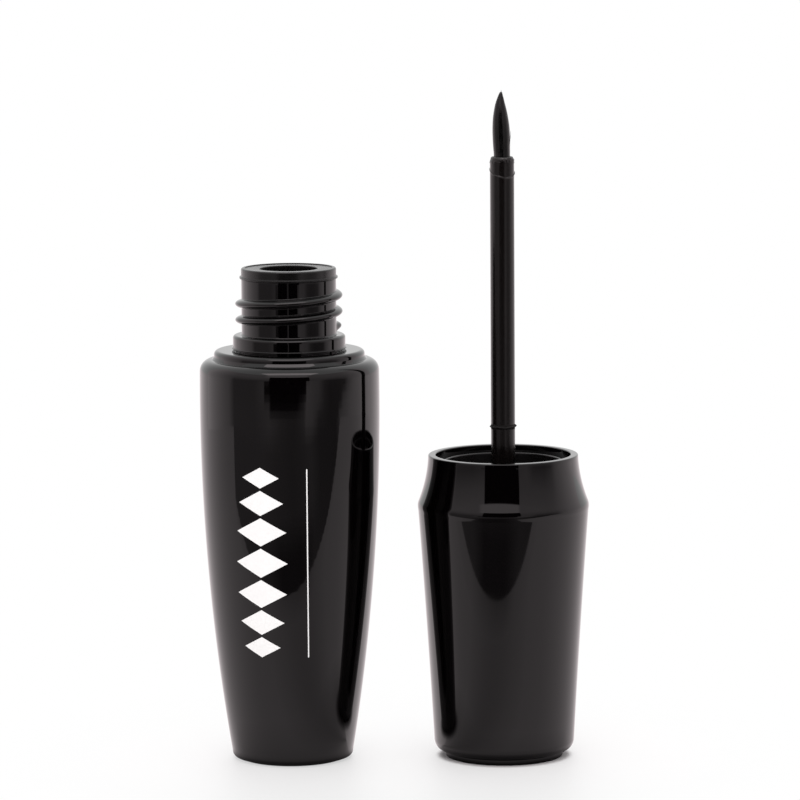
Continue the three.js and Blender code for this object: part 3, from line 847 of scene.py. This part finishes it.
def flank_r(share):
    """Radius of the flank at a share of the way up to the ridge."""
    return CAP_END_R + (ridge_r - RIDGE_PROUD - CAP_END_R) * share - 4 * FLANK_HOLLOW * share * (1 - share)


collar_top = cap_height + COLLAR_LEAN
collar_rise = collar_top - COLLAR_FOOT
collar_curve = (collar_rise ** 2 + (ridge_r - MOUTH_R) ** 2) / (2 * (ridge_r - MOUTH_R))


def collar_r(height):
    """Radius of the hollow collar at a height."""
    return MOUTH_R + collar_curve - math.sqrt(collar_curve ** 2 - (collar_top - height) ** 2)


print(f"the collar is hollowed with a radius of {collar_curve:.1f} mm")

# %% Overcap
CAP_BORE_R = 8.2
RIDGE_ROUND = 1.7
MOUTH_EDGE = 0.16
MOUTH_INNER_EDGE = 0.12
CAP_FOOT_R = 7.15
CAP_FOOT_HEIGHT = 0.73
CAP_HEEL_ROUND = 1.3
ROOF_BACK = 25.05
END_WALL = 1.4
END_BORE_R = 7.29
FLANK_SPAN = (0.09, 0.98)
FLANK_STEP = 0.03
COLLAR_START = 0.7
COLLAR_STOP = 0.5
COLLAR_ROW = 0.4

overcap_corners = [
    (0, 0),
    (CAP_FOOT_R, 0, SOFT_EDGE),
    (CAP_FOOT_R, CAP_FOOT_HEIGHT),
    (flank_r(CAP_FOOT_HEIGHT / RIDGE_HEIGHT), CAP_FOOT_HEIGHT, CAP_HEEL_ROUND),
    *[(flank_r(s), RIDGE_HEIGHT * s) for s in levels(*FLANK_SPAN, FLANK_STEP)],
    (ridge_r, COLLAR_FOOT, RIDGE_ROUND),
    *[(collar_r(z), z) for z in levels(COLLAR_FOOT + COLLAR_START, cap_height - COLLAR_STOP, COLLAR_ROW)],
    (collar_r(cap_height), cap_height, MOUTH_EDGE),
    (CAP_BORE_R, cap_height, MOUTH_INNER_EDGE),
    (CAP_BORE_R, ROOF_BACK, SOFT_EDGE),
    (END_BORE_R, END_WALL, WIDE_FILLET),
    (0, END_WALL),
]
overcap = turned("overcap_shell", rounded(overcap_corners), axis=cap_axis)
dress(overcap, "cap", "gloss_black", polished_abs, "overcap")

# %% Ribs inside the overcap
RIB_COUNT = 6
RIB_HALF_WIDTH = 0.4
RIB_ROOT = 0.3
GRIP_RIB = 0.4
STOP_RIB = 1.2
RIB_TOP = 35.0
RIB_TOP_FALL = 0.1

rib_corners = [
    (CAP_BORE_R + RIB_ROOT, RIB_TOP - RIB_TOP_FALL),
    (CAP_BORE_R - GRIP_RIB, RIB_TOP - GRIP_RIB, SOFT_EDGE),
    (CAP_BORE_R - GRIP_RIB, ROOF_BACK, CRISP_EDGE),
    (CAP_BORE_R - STOP_RIB, ROOF_BACK, SOFT_EDGE),
    (END_BORE_R - STOP_RIB, END_WALL - RIB_ROOT),
    (END_BORE_R + RIB_ROOT, END_WALL - RIB_ROOT),
    (CAP_BORE_R + RIB_ROOT, ROOF_BACK),
]
rib_outline = rounded(rib_corners, ring=True)
points, faces = [], []
for rib in range(RIB_COUNT):
    outward = Vector((math.cos(TAU * rib / RIB_COUNT), math.sin(TAU * rib / RIB_COUNT), 0))
    aside = Vector((-outward.y, outward.x, 0)) * RIB_HALF_WIDTH
    first = len(points)
    count = len(rib_outline)
    for side in (-1, 1):
        foot = Vector((cap_axis.x, cap_axis.y, 0)) + aside * side
        points += [foot + outward * radius + Vector((0, 0, height)) for radius, height in rib_outline]
    faces.append(tuple(range(first, first + count)))
    faces.append(tuple(reversed(range(first + count, first + 2 * count))))
    for i in range(count):
        j = (i + 1) % count
        faces.append((first + j, first + i, first + count + i, first + count + j))
ribs = flat_mesh("overcap_ribs", points, faces)
dress(ribs, "cap", "gloss_black", polished_abs)

# %% [markdown]
# ## Inner cap
# A plain threaded liner sits inside the overcap. Its rim shows as a thin ring in the mouth, and its
# thread, the same helix turned inwards, shows when you look down into the cap.

# %% Inner cap
RIM_FALL = 0.6
BEAD_BORE_R = 7.02
BEAD_BORE_FOOT = 35.05
INNER_BORE_R = 6.7
SOCKET_R = 1.48
BOSS_R = 2.58
SKIRT_R = 7.75
INNER_THREAD_DEPTH = 0.7
INNER_THREAD_START = 29.3
INNER_THREAD_TURNS = 2.2
INNER_THREAD_SPAN = (28.4, 34.6)
INNER_ROW = 0.1
BEAD_BORE_TAPER = 0.2
RIM_HEIGHT = 1.0
RIM_INNER_EDGE = 0.15

rim_r = (inner_high.x - inner_low.x) / 2
rim_face = inner_high.z
boss_foot = inner_low.z
roof_face = washer_low.z
inner_corners = [
    (rim_r, rim_face - RIM_FALL, SOFT_EDGE),
    (BEAD_BORE_R, rim_face, RIM_INNER_EDGE),
    (BEAD_BORE_R, BEAD_BORE_FOOT, RIM_EDGE),
    (INNER_BORE_R, BEAD_BORE_FOOT - BEAD_BORE_TAPER, RIM_EDGE),
    *[(INNER_BORE_R, z) for z in reversed(levels(*INNER_THREAD_SPAN, INNER_ROW))],
    (INNER_BORE_R, roof_face, WIDE_FILLET),
    (SOCKET_R, roof_face, CRISP_EDGE),
    (SOCKET_R, boss_foot, CRISP_EDGE),
    (BOSS_R, boss_foot, SOFT_EDGE),
    (BOSS_R, ROOF_BACK, WIDE_FILLET),
    (SKIRT_R, ROOF_BACK, WIDE_FILLET),
    (SKIRT_R, rim_face - RIM_HEIGHT, CRISP_EDGE),
    (rim_r, rim_face - RIM_HEIGHT, CRISP_EDGE),
]


def inner_shift(angle, radius, height):
    """How far the thread stands into the inner cap's bore."""
    if abs(radius - INNER_BORE_R) > SAME:
        return 0.0
    return -INNER_THREAD_DEPTH * thread_share(angle, height, INNER_THREAD_START, INNER_THREAD_TURNS)


inner_cap = turned("inner_cap_liner", rounded(inner_corners, ring=True), axis=cap_axis,
                   shift=inner_shift, ring=True)
dress(inner_cap, "cap", "satin_black", satin_pp, "inner_cap")

# %% [markdown]
# ## Sealing washer
# A disc of foamed polyethylene lies against the inner cap's roof, where the wiper's flange presses
# into it. Foam is cut from a sheet, so its face shows the walls of the cells that the knife opened.
# A Voronoi pattern has just that look. Real cells are about a quarter of a millimetre wide.

# %% Sealing washer
WASHER_HOLE_R = 2.43
WASHER_EDGE = 0.15
FOAM_CELL = 0.25
CELL_DEPTH = 0.08

foam = bpy.data.materials.new("PE_foam_grey_sliced")
tree = new_tree(foam)
place = add_node(tree, "ShaderNodeTexCoord").outputs["Object"]
cells = add_node(tree, "ShaderNodeTexVoronoi", {"Scale": per_mm(FOAM_CELL)}, {"Vector": place})
# Painted shade: the colour is darker between the cells, where the bump sinks into grooves.
shade = add_node(tree, "ShaderNodeMix", {"A": linear("#777473"), "B": linear("#5a5857")},
                 {"Factor": cells.outputs["Distance"]}, data_type="RGBA")
relief = add_node(tree, "ShaderNodeBump", {"Strength": 0.6, "Distance": CELL_DEPTH * MM},
                  {"Height": cells.outputs["Distance"]}, invert=True)
skin = add_node(tree, "ShaderNodeBsdfPrincipled", {"Roughness": 0.85},
                {"Base Color": shade.outputs["Result"], "Normal": relief.outputs[0]})
add_node(tree, "ShaderNodeOutputMaterial", links={"Surface": skin.outputs[0]})

washer_r = (washer_high.x - washer_low.x) / 2
washer_face = washer_high.z
washer_corners = [(WASHER_HOLE_R, roof_face, SOFT_EDGE), (washer_r, roof_face, SOFT_EDGE),
                  (washer_r, washer_face, FILLET), (WASHER_HOLE_R, washer_face, WASHER_EDGE)]
washer = turned("sealing_washer_disc", rounded(washer_corners, ring=True), axis=cap_axis, ring=True)
dress(washer, "cap", "foam", foam, "sealing_washer")

# %% [markdown]
# ## Mixing ball
# A loose steel ball stirs the ink when the bottle is shaken. It is ground and lapped between
# plates, so it is a mirror with a faint haze of scratches. Nobody sees it in the closed bottle, but
# it is a piece of the object and gets its own finish.

# %% Mixing ball
LAPPING_SIZE = 0.3
BALL_ROWS = 32

ball_low, ball_high = box_mm("mixing_ball")
ball_centre = (ball_low + ball_high) / 2
ball_r = (ball_high.z - ball_low.z) / 2

steel = bpy.data.materials.new("stainless_steel_lapped")
tree = new_tree(steel)
place = add_node(tree, "ShaderNodeTexCoord").outputs["Object"]
lapping = add_node(tree, "ShaderNodeTexNoise", {"Scale": per_mm(LAPPING_SIZE), "Detail": 6,
                   "Distortion": 2.0}, {"Vector": place})
shade = add_node(tree, "ShaderNodeMix", {"A": linear("#b9babb"), "B": linear("#cfd0d1")},
                 {"Factor": lapping.outputs["Fac"]}, data_type="RGBA")
rub = add_node(tree, "ShaderNodeMapRange", {"To Min": 0.08, "To Max": 0.24},
               {"Value": lapping.outputs["Fac"]})
skin = add_node(tree, "ShaderNodeBsdfPrincipled", {"Metallic": 1.0},
                {"Base Color": shade.outputs["Result"], "Roughness": rub.outputs[0]})
add_node(tree, "ShaderNodeOutputMaterial", links={"Surface": skin.outputs[0]})

half_turns = [math.pi * i / BALL_ROWS for i in range(BALL_ROWS + 1)]
ball_outline = [(ball_r * math.sin(t), ball_centre.z - ball_r * math.cos(t)) for t in half_turns]
ball_angles = [TAU * i / (2 * BALL_ROWS) for i in range(2 * BALL_ROWS)]
ball = turned("mixing_ball_steel", ball_outline, axis=ball_centre, angles=ball_angles)
dress(ball, "ball", "steel", steel, "mixing_ball")

# %% [markdown]
# ## Applicator rod
# The rod is acetal, moulded in one piece with the collar that stops it in the inner cap. Each time
# it is drawn out, the wiper leaves a thin film of ink on it and scrapes the rest into a ring where
# its lip stood. So the rod is satin above that dull ring, where the film dried, and shinier below it,
# with streaks along its length. The ring, the edge of the film under the brush and the crumbs of
# dried ink on the rod's shoulder are shifts of the rod's own surface, like the thread.

# %% Rod finish
WIPED_HEIGHT = 40.5
STREAK_SIZE = 0.5
STREAK_STRETCH = 0.06
SPECKLE_SIZE = 0.25
SPECKLE_HEIGHT = 0.006
DULL_HALF_HEIGHT = 0.3
DULL_ROUGHNESS = 0.85

acetal = bpy.data.materials.new("acetal_black_moulded_inked")
tree = new_tree(acetal)
place = add_node(tree, "ShaderNodeTexCoord").outputs["Object"]
height = add_node(tree, "ShaderNodeSeparateXYZ", links={"Vector": place}).outputs["Z"]
dried = add_node(tree, "ShaderNodeMapRange", {"From Min": (WIPED_HEIGHT - DULL_HALF_HEIGHT) * MM,
                 "From Max": (WIPED_HEIGHT + DULL_HALF_HEIGHT) * MM}, {"Value": height})
long_place = add_node(tree, "ShaderNodeMapping", {"Scale": (1, 1, STREAK_STRETCH)}, {"Vector": place})
streaks = add_node(tree, "ShaderNodeTexNoise", {"Scale": per_mm(STREAK_SIZE), "Detail": 3},
                   {"Vector": long_place.outputs[0]})
wiped = add_node(tree, "ShaderNodeMapRange", {"From Min": 0.35, "From Max": 0.65, "To Min": 0.12,
                 "To Max": 0.26}, {"Value": streaks.outputs["Fac"]})
speckle = add_node(tree, "ShaderNodeTexNoise", {"Scale": per_mm(SPECKLE_SIZE), "Detail": 3},
                   {"Vector": place})
film = add_node(tree, "ShaderNodeMapRange", {"From Min": 0.3, "From Max": 0.7, "To Min": 0.16,
                "To Max": 0.25}, {"Value": speckle.outputs["Fac"]})
rub = add_node(tree, "ShaderNodeMix", links={"Factor": dried.outputs[0], "A": wiped.outputs[0],
               "B": film.outputs[0]}, data_type="FLOAT")
on_ring = add_node(tree, "ShaderNodeMath", {1: WIPED_HEIGHT * MM, 2: DULL_HALF_HEIGHT * MM}, {0: height},
                   operation="COMPARE")
rub = add_node(tree, "ShaderNodeMix", {"B": DULL_ROUGHNESS}, {"Factor": on_ring.outputs[0],
               "A": rub.outputs["Result"]}, data_type="FLOAT")
shade = add_node(tree, "ShaderNodeMix", {"A": linear("#070505"), "B": linear("#0e0a09")},
                 {"Factor": streaks.outputs["Fac"]}, data_type="RGBA")
relief = add_node(tree, "ShaderNodeBump", {"Strength": 1.0, "Distance": SPECKLE_HEIGHT * MM},
                  {"Height": speckle.outputs["Fac"]})
skin = add_node(tree, "ShaderNodeBsdfPrincipled", {"IOR": 1.48},
                {"Base Color": shade.outputs["Result"], "Roughness": rub.outputs["Result"],
                 "Normal": relief.outputs[0]})
add_node(tree, "ShaderNodeOutputMaterial", links={"Surface": skin.outputs[0]})
print("rod finish changes at", WIPED_HEIGHT, "mm")

# %% Ink left on the rod
ROD_R = 1.46
ROD_COLLAR_TOP = 26.95
ROD_SHOULDER = 0.8
TUFT_SOCKET_R = 1.04
CLEAR_OF_COLLAR = 1.0
CRUMB_SIZE = 0.22
CRUMB_PROUD = 0.09
RAGGED_TURNS = 1.6
RAGGED_SLICE = Vector((0, 0, 4.0))
RING_PROUD = 0.17
RING_PROUD_SWELL = 0.35
RING_HALF_HEIGHT = 0.17
RING_HEIGHT_SWELL = 0.4
RING_WANDER = 0.12
FILM_EDGE = 71.5
FILM_DIP = 0.7
FILM_LOW_SIDE = math.radians(18)
FILM_WANDER = 0.1
FILM_WANDER_TURNS = 2.3
FILM_PROUD = 0.075
FILM_SWELL = 0.6
FILM_HALF_HEIGHT = 0.12


def rod_shift(angle, radius, height):
    """How far the crumbs on the shoulder, the wiper's ring and the film's edge stand out."""
    around = Vector((math.cos(angle), math.sin(angle), 0))
    if height > rod_end - ROD_SHOULDER and radius > TUFT_SOCKET_R + SAME:
        lump = noise.noise((around * radius + Vector((0, 0, height))) / CRUMB_SIZE)
        return CRUMB_PROUD * max(0.0, lump)
    if abs(radius - ROD_R) > SAME or height < ROD_COLLAR_TOP + CLEAR_OF_COLLAR:
        return 0.0
    ragged = noise.noise(around * RAGGED_TURNS + RAGGED_SLICE)
    ring_half = RING_HALF_HEIGHT * (1 + RING_HEIGHT_SWELL * ragged)
    off_ring = abs(height - WIPED_HEIGHT - RING_WANDER * ragged) / ring_half
    ring = RING_PROUD * (1 + RING_PROUD_SWELL * ragged) * eased(1 - off_ring)
    wander = FILM_WANDER * noise.noise(around * FILM_WANDER_TURNS)
    edge = FILM_EDGE + FILM_DIP * math.sin(angle - FILM_LOW_SIDE) + wander
    film = FILM_PROUD * (1 + FILM_SWELL * ragged) * eased(1 - abs(height - edge) / FILM_HALF_HEIGHT)
    return ring + film


print("ink film ends", FILM_EDGE, "mm up the rod")

# %% Rod
ROD_LIP_R = 1.13
ROD_CHAMFER = 0.3
TUFT_SOCKET_DEPTH = 4.0
SHOULDER_STEPS = 14
FINE_ROW = 0.04
RING_REACH = 0.9
FILM_REACH = (1.0, 0.9)

quarter = [math.pi / 2 * i / SHOULDER_STEPS for i in range(1, SHOULDER_STEPS + 1)]
shoulder = [(ROD_LIP_R + (ROD_R - ROD_LIP_R) * math.cos(t), rod_end - ROD_SHOULDER * (1 - math.sin(t)))
            for t in quarter]
rod_collar_r = (rod_high.x - rod_low.x) / 2
rod_corners = [
    (0, boss_foot),
    (ROD_R - ROD_CHAMFER, boss_foot, CRISP_EDGE),
    (ROD_R, boss_foot + ROD_CHAMFER, SOFT_EDGE),
    (ROD_R, roof_face, CRISP_EDGE),
    (rod_collar_r, roof_face, KEEN_EDGE),
    (rod_collar_r, ROD_COLLAR_TOP, FILLET),
    (ROD_R, ROD_COLLAR_TOP, FILLET),
    *[(ROD_R, z) for z in levels(WIPED_HEIGHT - RING_REACH, WIPED_HEIGHT + RING_REACH, FINE_ROW)],
    *[(ROD_R, z) for z in levels(FILM_EDGE - FILM_REACH[0], FILM_EDGE + FILM_REACH[1], FINE_ROW)],
    *shoulder,
    (TUFT_SOCKET_R, rod_end, STEP_EDGE),
    (TUFT_SOCKET_R, rod_end - TUFT_SOCKET_DEPTH, SOFT_EDGE),
    (0, rod_end - TUFT_SOCKET_DEPTH),
]
rod = turned("applicator_rod_stem", rounded(rod_corners), axis=cap_axis, shift=rod_shift)
dress(rod, "cap", "satin_black", acetal, "applicator_rod")

# %% [markdown]
# ## Brush
# The brush is a tuft of nylon filaments, swollen at the belly and drawn to a point by the ink that
# holds them together. Blender's hair would be quick, but it leaves no mesh to export. Each filament
# is its own thin tapering tube, not Blender's hair. They stand on a triangular grid, lean in
# together with the tuft's outline, and end at different heights, the middle ones last. A fluted core
# stands for the ink between them, so no light shows through.

# %% Wet ink finish
STRAND_SIZE = 0.12
STRAND_STRETCH = 0.15

# Wet ink gives the eye a deep black, with small glints that break up along the filaments.
wet_ink = bpy.data.materials.new("nylon_filaments_wet_with_ink")
tree = new_tree(wet_ink)
place = add_node(tree, "ShaderNodeTexCoord").outputs["Object"]
long_place = add_node(tree, "ShaderNodeMapping", {"Scale": (1, 1, STRAND_STRETCH)}, {"Vector": place})
strand = add_node(tree, "ShaderNodeTexNoise", {"Scale": per_mm(STRAND_SIZE), "Detail": 3},
                  {"Vector": long_place.outputs[0]})
shade = add_node(tree, "ShaderNodeMix", {"A": linear("#020202"), "B": linear("#070606")},
                 {"Factor": strand.outputs["Fac"]}, data_type="RGBA")
rub = add_node(tree, "ShaderNodeMapRange", {"From Min": 0.3, "From Max": 0.7, "To Min": 0.14,
               "To Max": 0.32}, {"Value": strand.outputs["Fac"]})
skin = add_node(tree, "ShaderNodeBsdfPrincipled", {"IOR": 1.45},
                {"Base Color": shade.outputs["Result"], "Roughness": rub.outputs[0]})
add_node(tree, "ShaderNodeOutputMaterial", links={"Surface": skin.outputs[0]})
print("material", wet_ink.name)

# %% Outline of the tuft
TUFT_R = 0.99
BELLY_R = 1.07
BELLY_HEIGHT = 2.4
POINT_FULLNESS = 2.2
LEAN = [(0.2, 0.0), (0.8, -0.04), (2.1, -0.06), (3.6, -0.11), (4.8, -0.16), (6.4, -0.2), (7.4, -0.14),
        (8.1, -0.04)]
tuft_length = brush_point - rod_end


def tuft_outline(height):
    """Radius of the tuft at a height over the rod's end."""
    if height <= BELLY_HEIGHT:
        return TUFT_R + (BELLY_R - TUFT_R) * eased(max(0.0, height) / BELLY_HEIGHT)
    return BELLY_R * (1 - ((height - BELLY_HEIGHT) / (tuft_length - BELLY_HEIGHT)) ** POINT_FULLNESS)


print(f"tuft {tuft_length:.2f} mm long, leaning {-min(lean for _, lean in LEAN)} mm to the left")

# %% Where the bristles stand
BRISTLE_R = 0.046
BRISTLE_PITCH = 0.086
BRISTLE_JITTER = 0.012
chance = random.Random(7)


def bristle_places():
    """Places on a triangular grid inside the tuft, each a little off."""
    row_step = BRISTLE_PITCH * math.sin(math.pi / 3)
    reach = math.ceil(TUFT_R / row_step)
    for row in range(-reach, reach + 1):
        for column in range(-reach - 1, reach + 1):
            x = (column + row % 2 / 2) * BRISTLE_PITCH + chance.uniform(-BRISTLE_JITTER, BRISTLE_JITTER)
            y = row * row_step + chance.uniform(-BRISTLE_JITTER, BRISTLE_JITTER)
            if math.hypot(x, y) <= TUFT_R - BRISTLE_R:
                yield Vector((x, y))


print("bristles stand", BRISTLE_PITCH, "mm apart")

# %% One bristle
BRISTLE_TIP = 0.25
BRISTLE_TAPER = 3
FINEST_R = 0.006
POINT_SHARE = 0.4
BRISTLE_SIDES = 5
BRISTLE_RINGS = 13
TUFT_SINK = 1.7


def bristle(points, faces, place, end, stray=Vector((0, 0))):
    """Adds one tapering filament: place is where it stands in the tuft, end its height over the rod."""
    first = len(points)
    for ring in range(BRISTLE_RINGS):
        share = ring / (BRISTLE_RINGS - 1)
        height = -TUFT_SINK + (end + TUFT_SINK) * share
        middle = place * (tuft_outline(height) / TUFT_R) + stray * eased(height / end) ** 2
        middle.x += between(LEAN, height)
        thick = BRISTLE_R * (1 - (1 - BRISTLE_TIP) * share ** BRISTLE_TAPER)
        thick = min(thick, max(FINEST_R, tuft_outline(height) * POINT_SHARE))
        for side in range(BRISTLE_SIDES):
            angle = TAU * side / BRISTLE_SIDES
            points.append((cap_axis.x + middle.x + thick * math.cos(angle),
                           cap_axis.y + middle.y + thick * math.sin(angle), rod_end + height))
    for ring in range(BRISTLE_RINGS - 1):
        for side in range(BRISTLE_SIDES):
            a = first + ring * BRISTLE_SIDES + side
            b = first + ring * BRISTLE_SIDES + (side + 1) % BRISTLE_SIDES
            faces.append((a, b, b + BRISTLE_SIDES, a + BRISTLE_SIDES))
    faces.append(tuple(first + side for side in reversed(range(BRISTLE_SIDES))))
    last = first + (BRISTLE_RINGS - 1) * BRISTLE_SIDES
    faces.append(tuple(last + side for side in range(BRISTLE_SIDES)))


print("a bristle has", BRISTLE_RINGS, "rings of", BRISTLE_SIDES, "points")

# %% Tuft
BRISTLE_STAGGER = 1.5
STAGGER_POWER = 1.5
END_SPREAD = 0.25
STRAY_PLACE = Vector((0.86, -0.25))
STRAY_END = 3.1
STRAY_BEND = Vector((0.2, -0.1))

points, faces = [], []
for place in bristle_places():
    end = tuft_length - BRISTLE_STAGGER * (place.length / TUFT_R) ** STAGGER_POWER
    bristle(points, faces, place, end - chance.uniform(0, END_SPREAD))
print("tuft of", len(points) // (BRISTLE_RINGS * BRISTLE_SIDES), "bristles, and a stray one")
bristle(points, faces, STRAY_PLACE, STRAY_END, stray=STRAY_BEND)
tuft = smooth_mesh("brush_bristles", points, faces)
dress(tuft, "cap", "bristle", wet_ink, "brush_tuft")

# %% Ink between the bristles
CORE_SHARE = 0.985
FLUTES = 26
FLUTE_DEPTH = 0.007
FLUTE_WANDER = 3
FLUTE_COLUMNS = 4
CORE_END = 7.7
CORE_POINT = 0.1
CORE_ROW = 0.2


def core_shift(angle, radius, height):
    """Shallow flutes along the core, which wander a little and fade towards the point."""
    wander = FLUTE_WANDER * noise.noise(Vector((0, 0, height)))
    return FLUTE_DEPTH * math.sin(FLUTES * angle + wander) * min(1, radius)


core_outline = [(0, rod_end - TUFT_SINK)]
core_outline += [(CORE_SHARE * tuft_outline(h), rod_end + h)
                 for h in levels(-TUFT_SINK, CORE_END, CORE_ROW)]
core_outline += [(0, rod_end + CORE_END + CORE_POINT)]
core_columns = FLUTE_COLUMNS * FLUTES
core_angles = [TAU * i / core_columns for i in range(core_columns)]
core = turned("brush_ink_core", core_outline, axis=cap_axis, angles=core_angles, shift=core_shift)
for vertex in core.data.vertices:
    vertex.co.x += between(LEAN, vertex.co.z / MM - rod_end) * MM
dress(core, "cap", "bristle", wet_ink)

# %% [markdown]
# ## Print
# White ink, pressed through a screen onto the turning bottle, makes a film a few hundredths of a
# millimetre thick with crisp edges. It can't be a picture texture here, so each mark is a patch
# that follows the barrel just off its surface. A Solidify modifier gives it the film's thickness,
# down to just under the plastic, and an Edge Split keeps its edges sharp. A plain rule runs up the
# front, and beside it a chain of lozenges, an ornament as old as inlay work.

# %% White screen ink
MOTTLE_SIZE = 0.3
MOTTLE_HEIGHT = 0.01

# Dried screen ink gives the eye an even white with a soft gloss and a faint mottle.
white_ink = bpy.data.materials.new("screen_ink_white_printed")
tree = new_tree(white_ink)
place = add_node(tree, "ShaderNodeTexCoord").outputs["Object"]
mottle = add_node(tree, "ShaderNodeTexNoise", {"Scale": per_mm(MOTTLE_SIZE), "Detail": 4},
                  {"Vector": place})
shade = add_node(tree, "ShaderNodeMix", {"A": linear("#fdfcfb"), "B": linear("#f4f3f2")},
                 {"Factor": mottle.outputs["Fac"]}, data_type="RGBA")
relief = add_node(tree, "ShaderNodeBump", {"Strength": 0.5, "Distance": MOTTLE_HEIGHT * MM},
                  {"Height": mottle.outputs["Fac"]})
skin = add_node(tree, "ShaderNodeBsdfPrincipled", {"Roughness": 0.4},
                {"Base Color": shade.outputs["Result"], "Normal": relief.outputs[0]})
add_node(tree, "ShaderNodeOutputMaterial", links={"Surface": skin.outputs[0]})
print("material", white_ink.name)

# %% Patches on the barrel
INK_LIFT = 0.02
PATCH_STEPS = 12


def printed_patch(points, faces, across, low, high, half_width):
    """Adds a patch on the barrel between two heights. half_width(share) is its half width on the way up."""
    for i in range(PATCH_STEPS + 1):
        share = i / PATCH_STEPS
        height = low + (high - low) * share
        radius = barrel_r(height) + INK_LIFT
        for j in range(PATCH_STEPS + 1):
            sideways = across + half_width(share) * (2 * j / PATCH_STEPS - 1)
            angle = sideways / radius - math.pi / 2
            points.append((radius * math.cos(angle), radius * math.sin(angle), height))
    row = PATCH_STEPS + 1
    start = len(points) - row * row
    for i in range(PATCH_STEPS):
        for j in range(PATCH_STEPS):
            a = start + i * row + j
            faces.append((a, a + 1, a + row + 1, a + row))


print("a patch has", PATCH_STEPS ** 2, "faces")

# %% Printed marks
INK_DEPTH = 0.04
CRISP_ANGLE = math.radians(40)
RULE_ACROSS = 2.2
RULE_WIDTH = 0.14
RULE_ENDS = (13.85, 36.95)
CHAIN_ACROSS = -3.5
CHAIN_ENDS = (13.85, 37.1)
CHAIN_COUNT = 7
CHAIN_GAP = 0.3
CHAIN_WIDTH = 6.6
CHAIN_LEAST = 0.62
POINT_HALF_WIDTH = 0.02

points, faces = [], []
printed_patch(points, faces, RULE_ACROSS, *RULE_ENDS, lambda share: RULE_WIDTH / 2)
shares = [CHAIN_LEAST + (1 - CHAIN_LEAST) * math.sin(math.pi * (i + 0.5) / CHAIN_COUNT)
          for i in range(CHAIN_COUNT)]
room = CHAIN_ENDS[1] - CHAIN_ENDS[0] - CHAIN_GAP * (CHAIN_COUNT - 1)
low = CHAIN_ENDS[0]
for share in shares:
    tall = room * share / sum(shares)
    wide = CHAIN_WIDTH * share
    printed_patch(points, faces, CHAIN_ACROSS, low, low + tall,
                  lambda up: max(POINT_HALF_WIDTH, wide / 2 * (1 - abs(2 * up - 1))))
    low += tall + CHAIN_GAP
marks = smooth_mesh("printed_marks", points, faces)
film = marks.modifiers.new("ink_film", "SOLIDIFY")
film.thickness = INK_DEPTH * MM
film.offset = -1
crisp = marks.modifiers.new("crisp_edge", "EDGE_SPLIT")
crisp.split_angle = CRISP_ANGLE
dress(marks, "bottle", "gloss_black", white_ink)
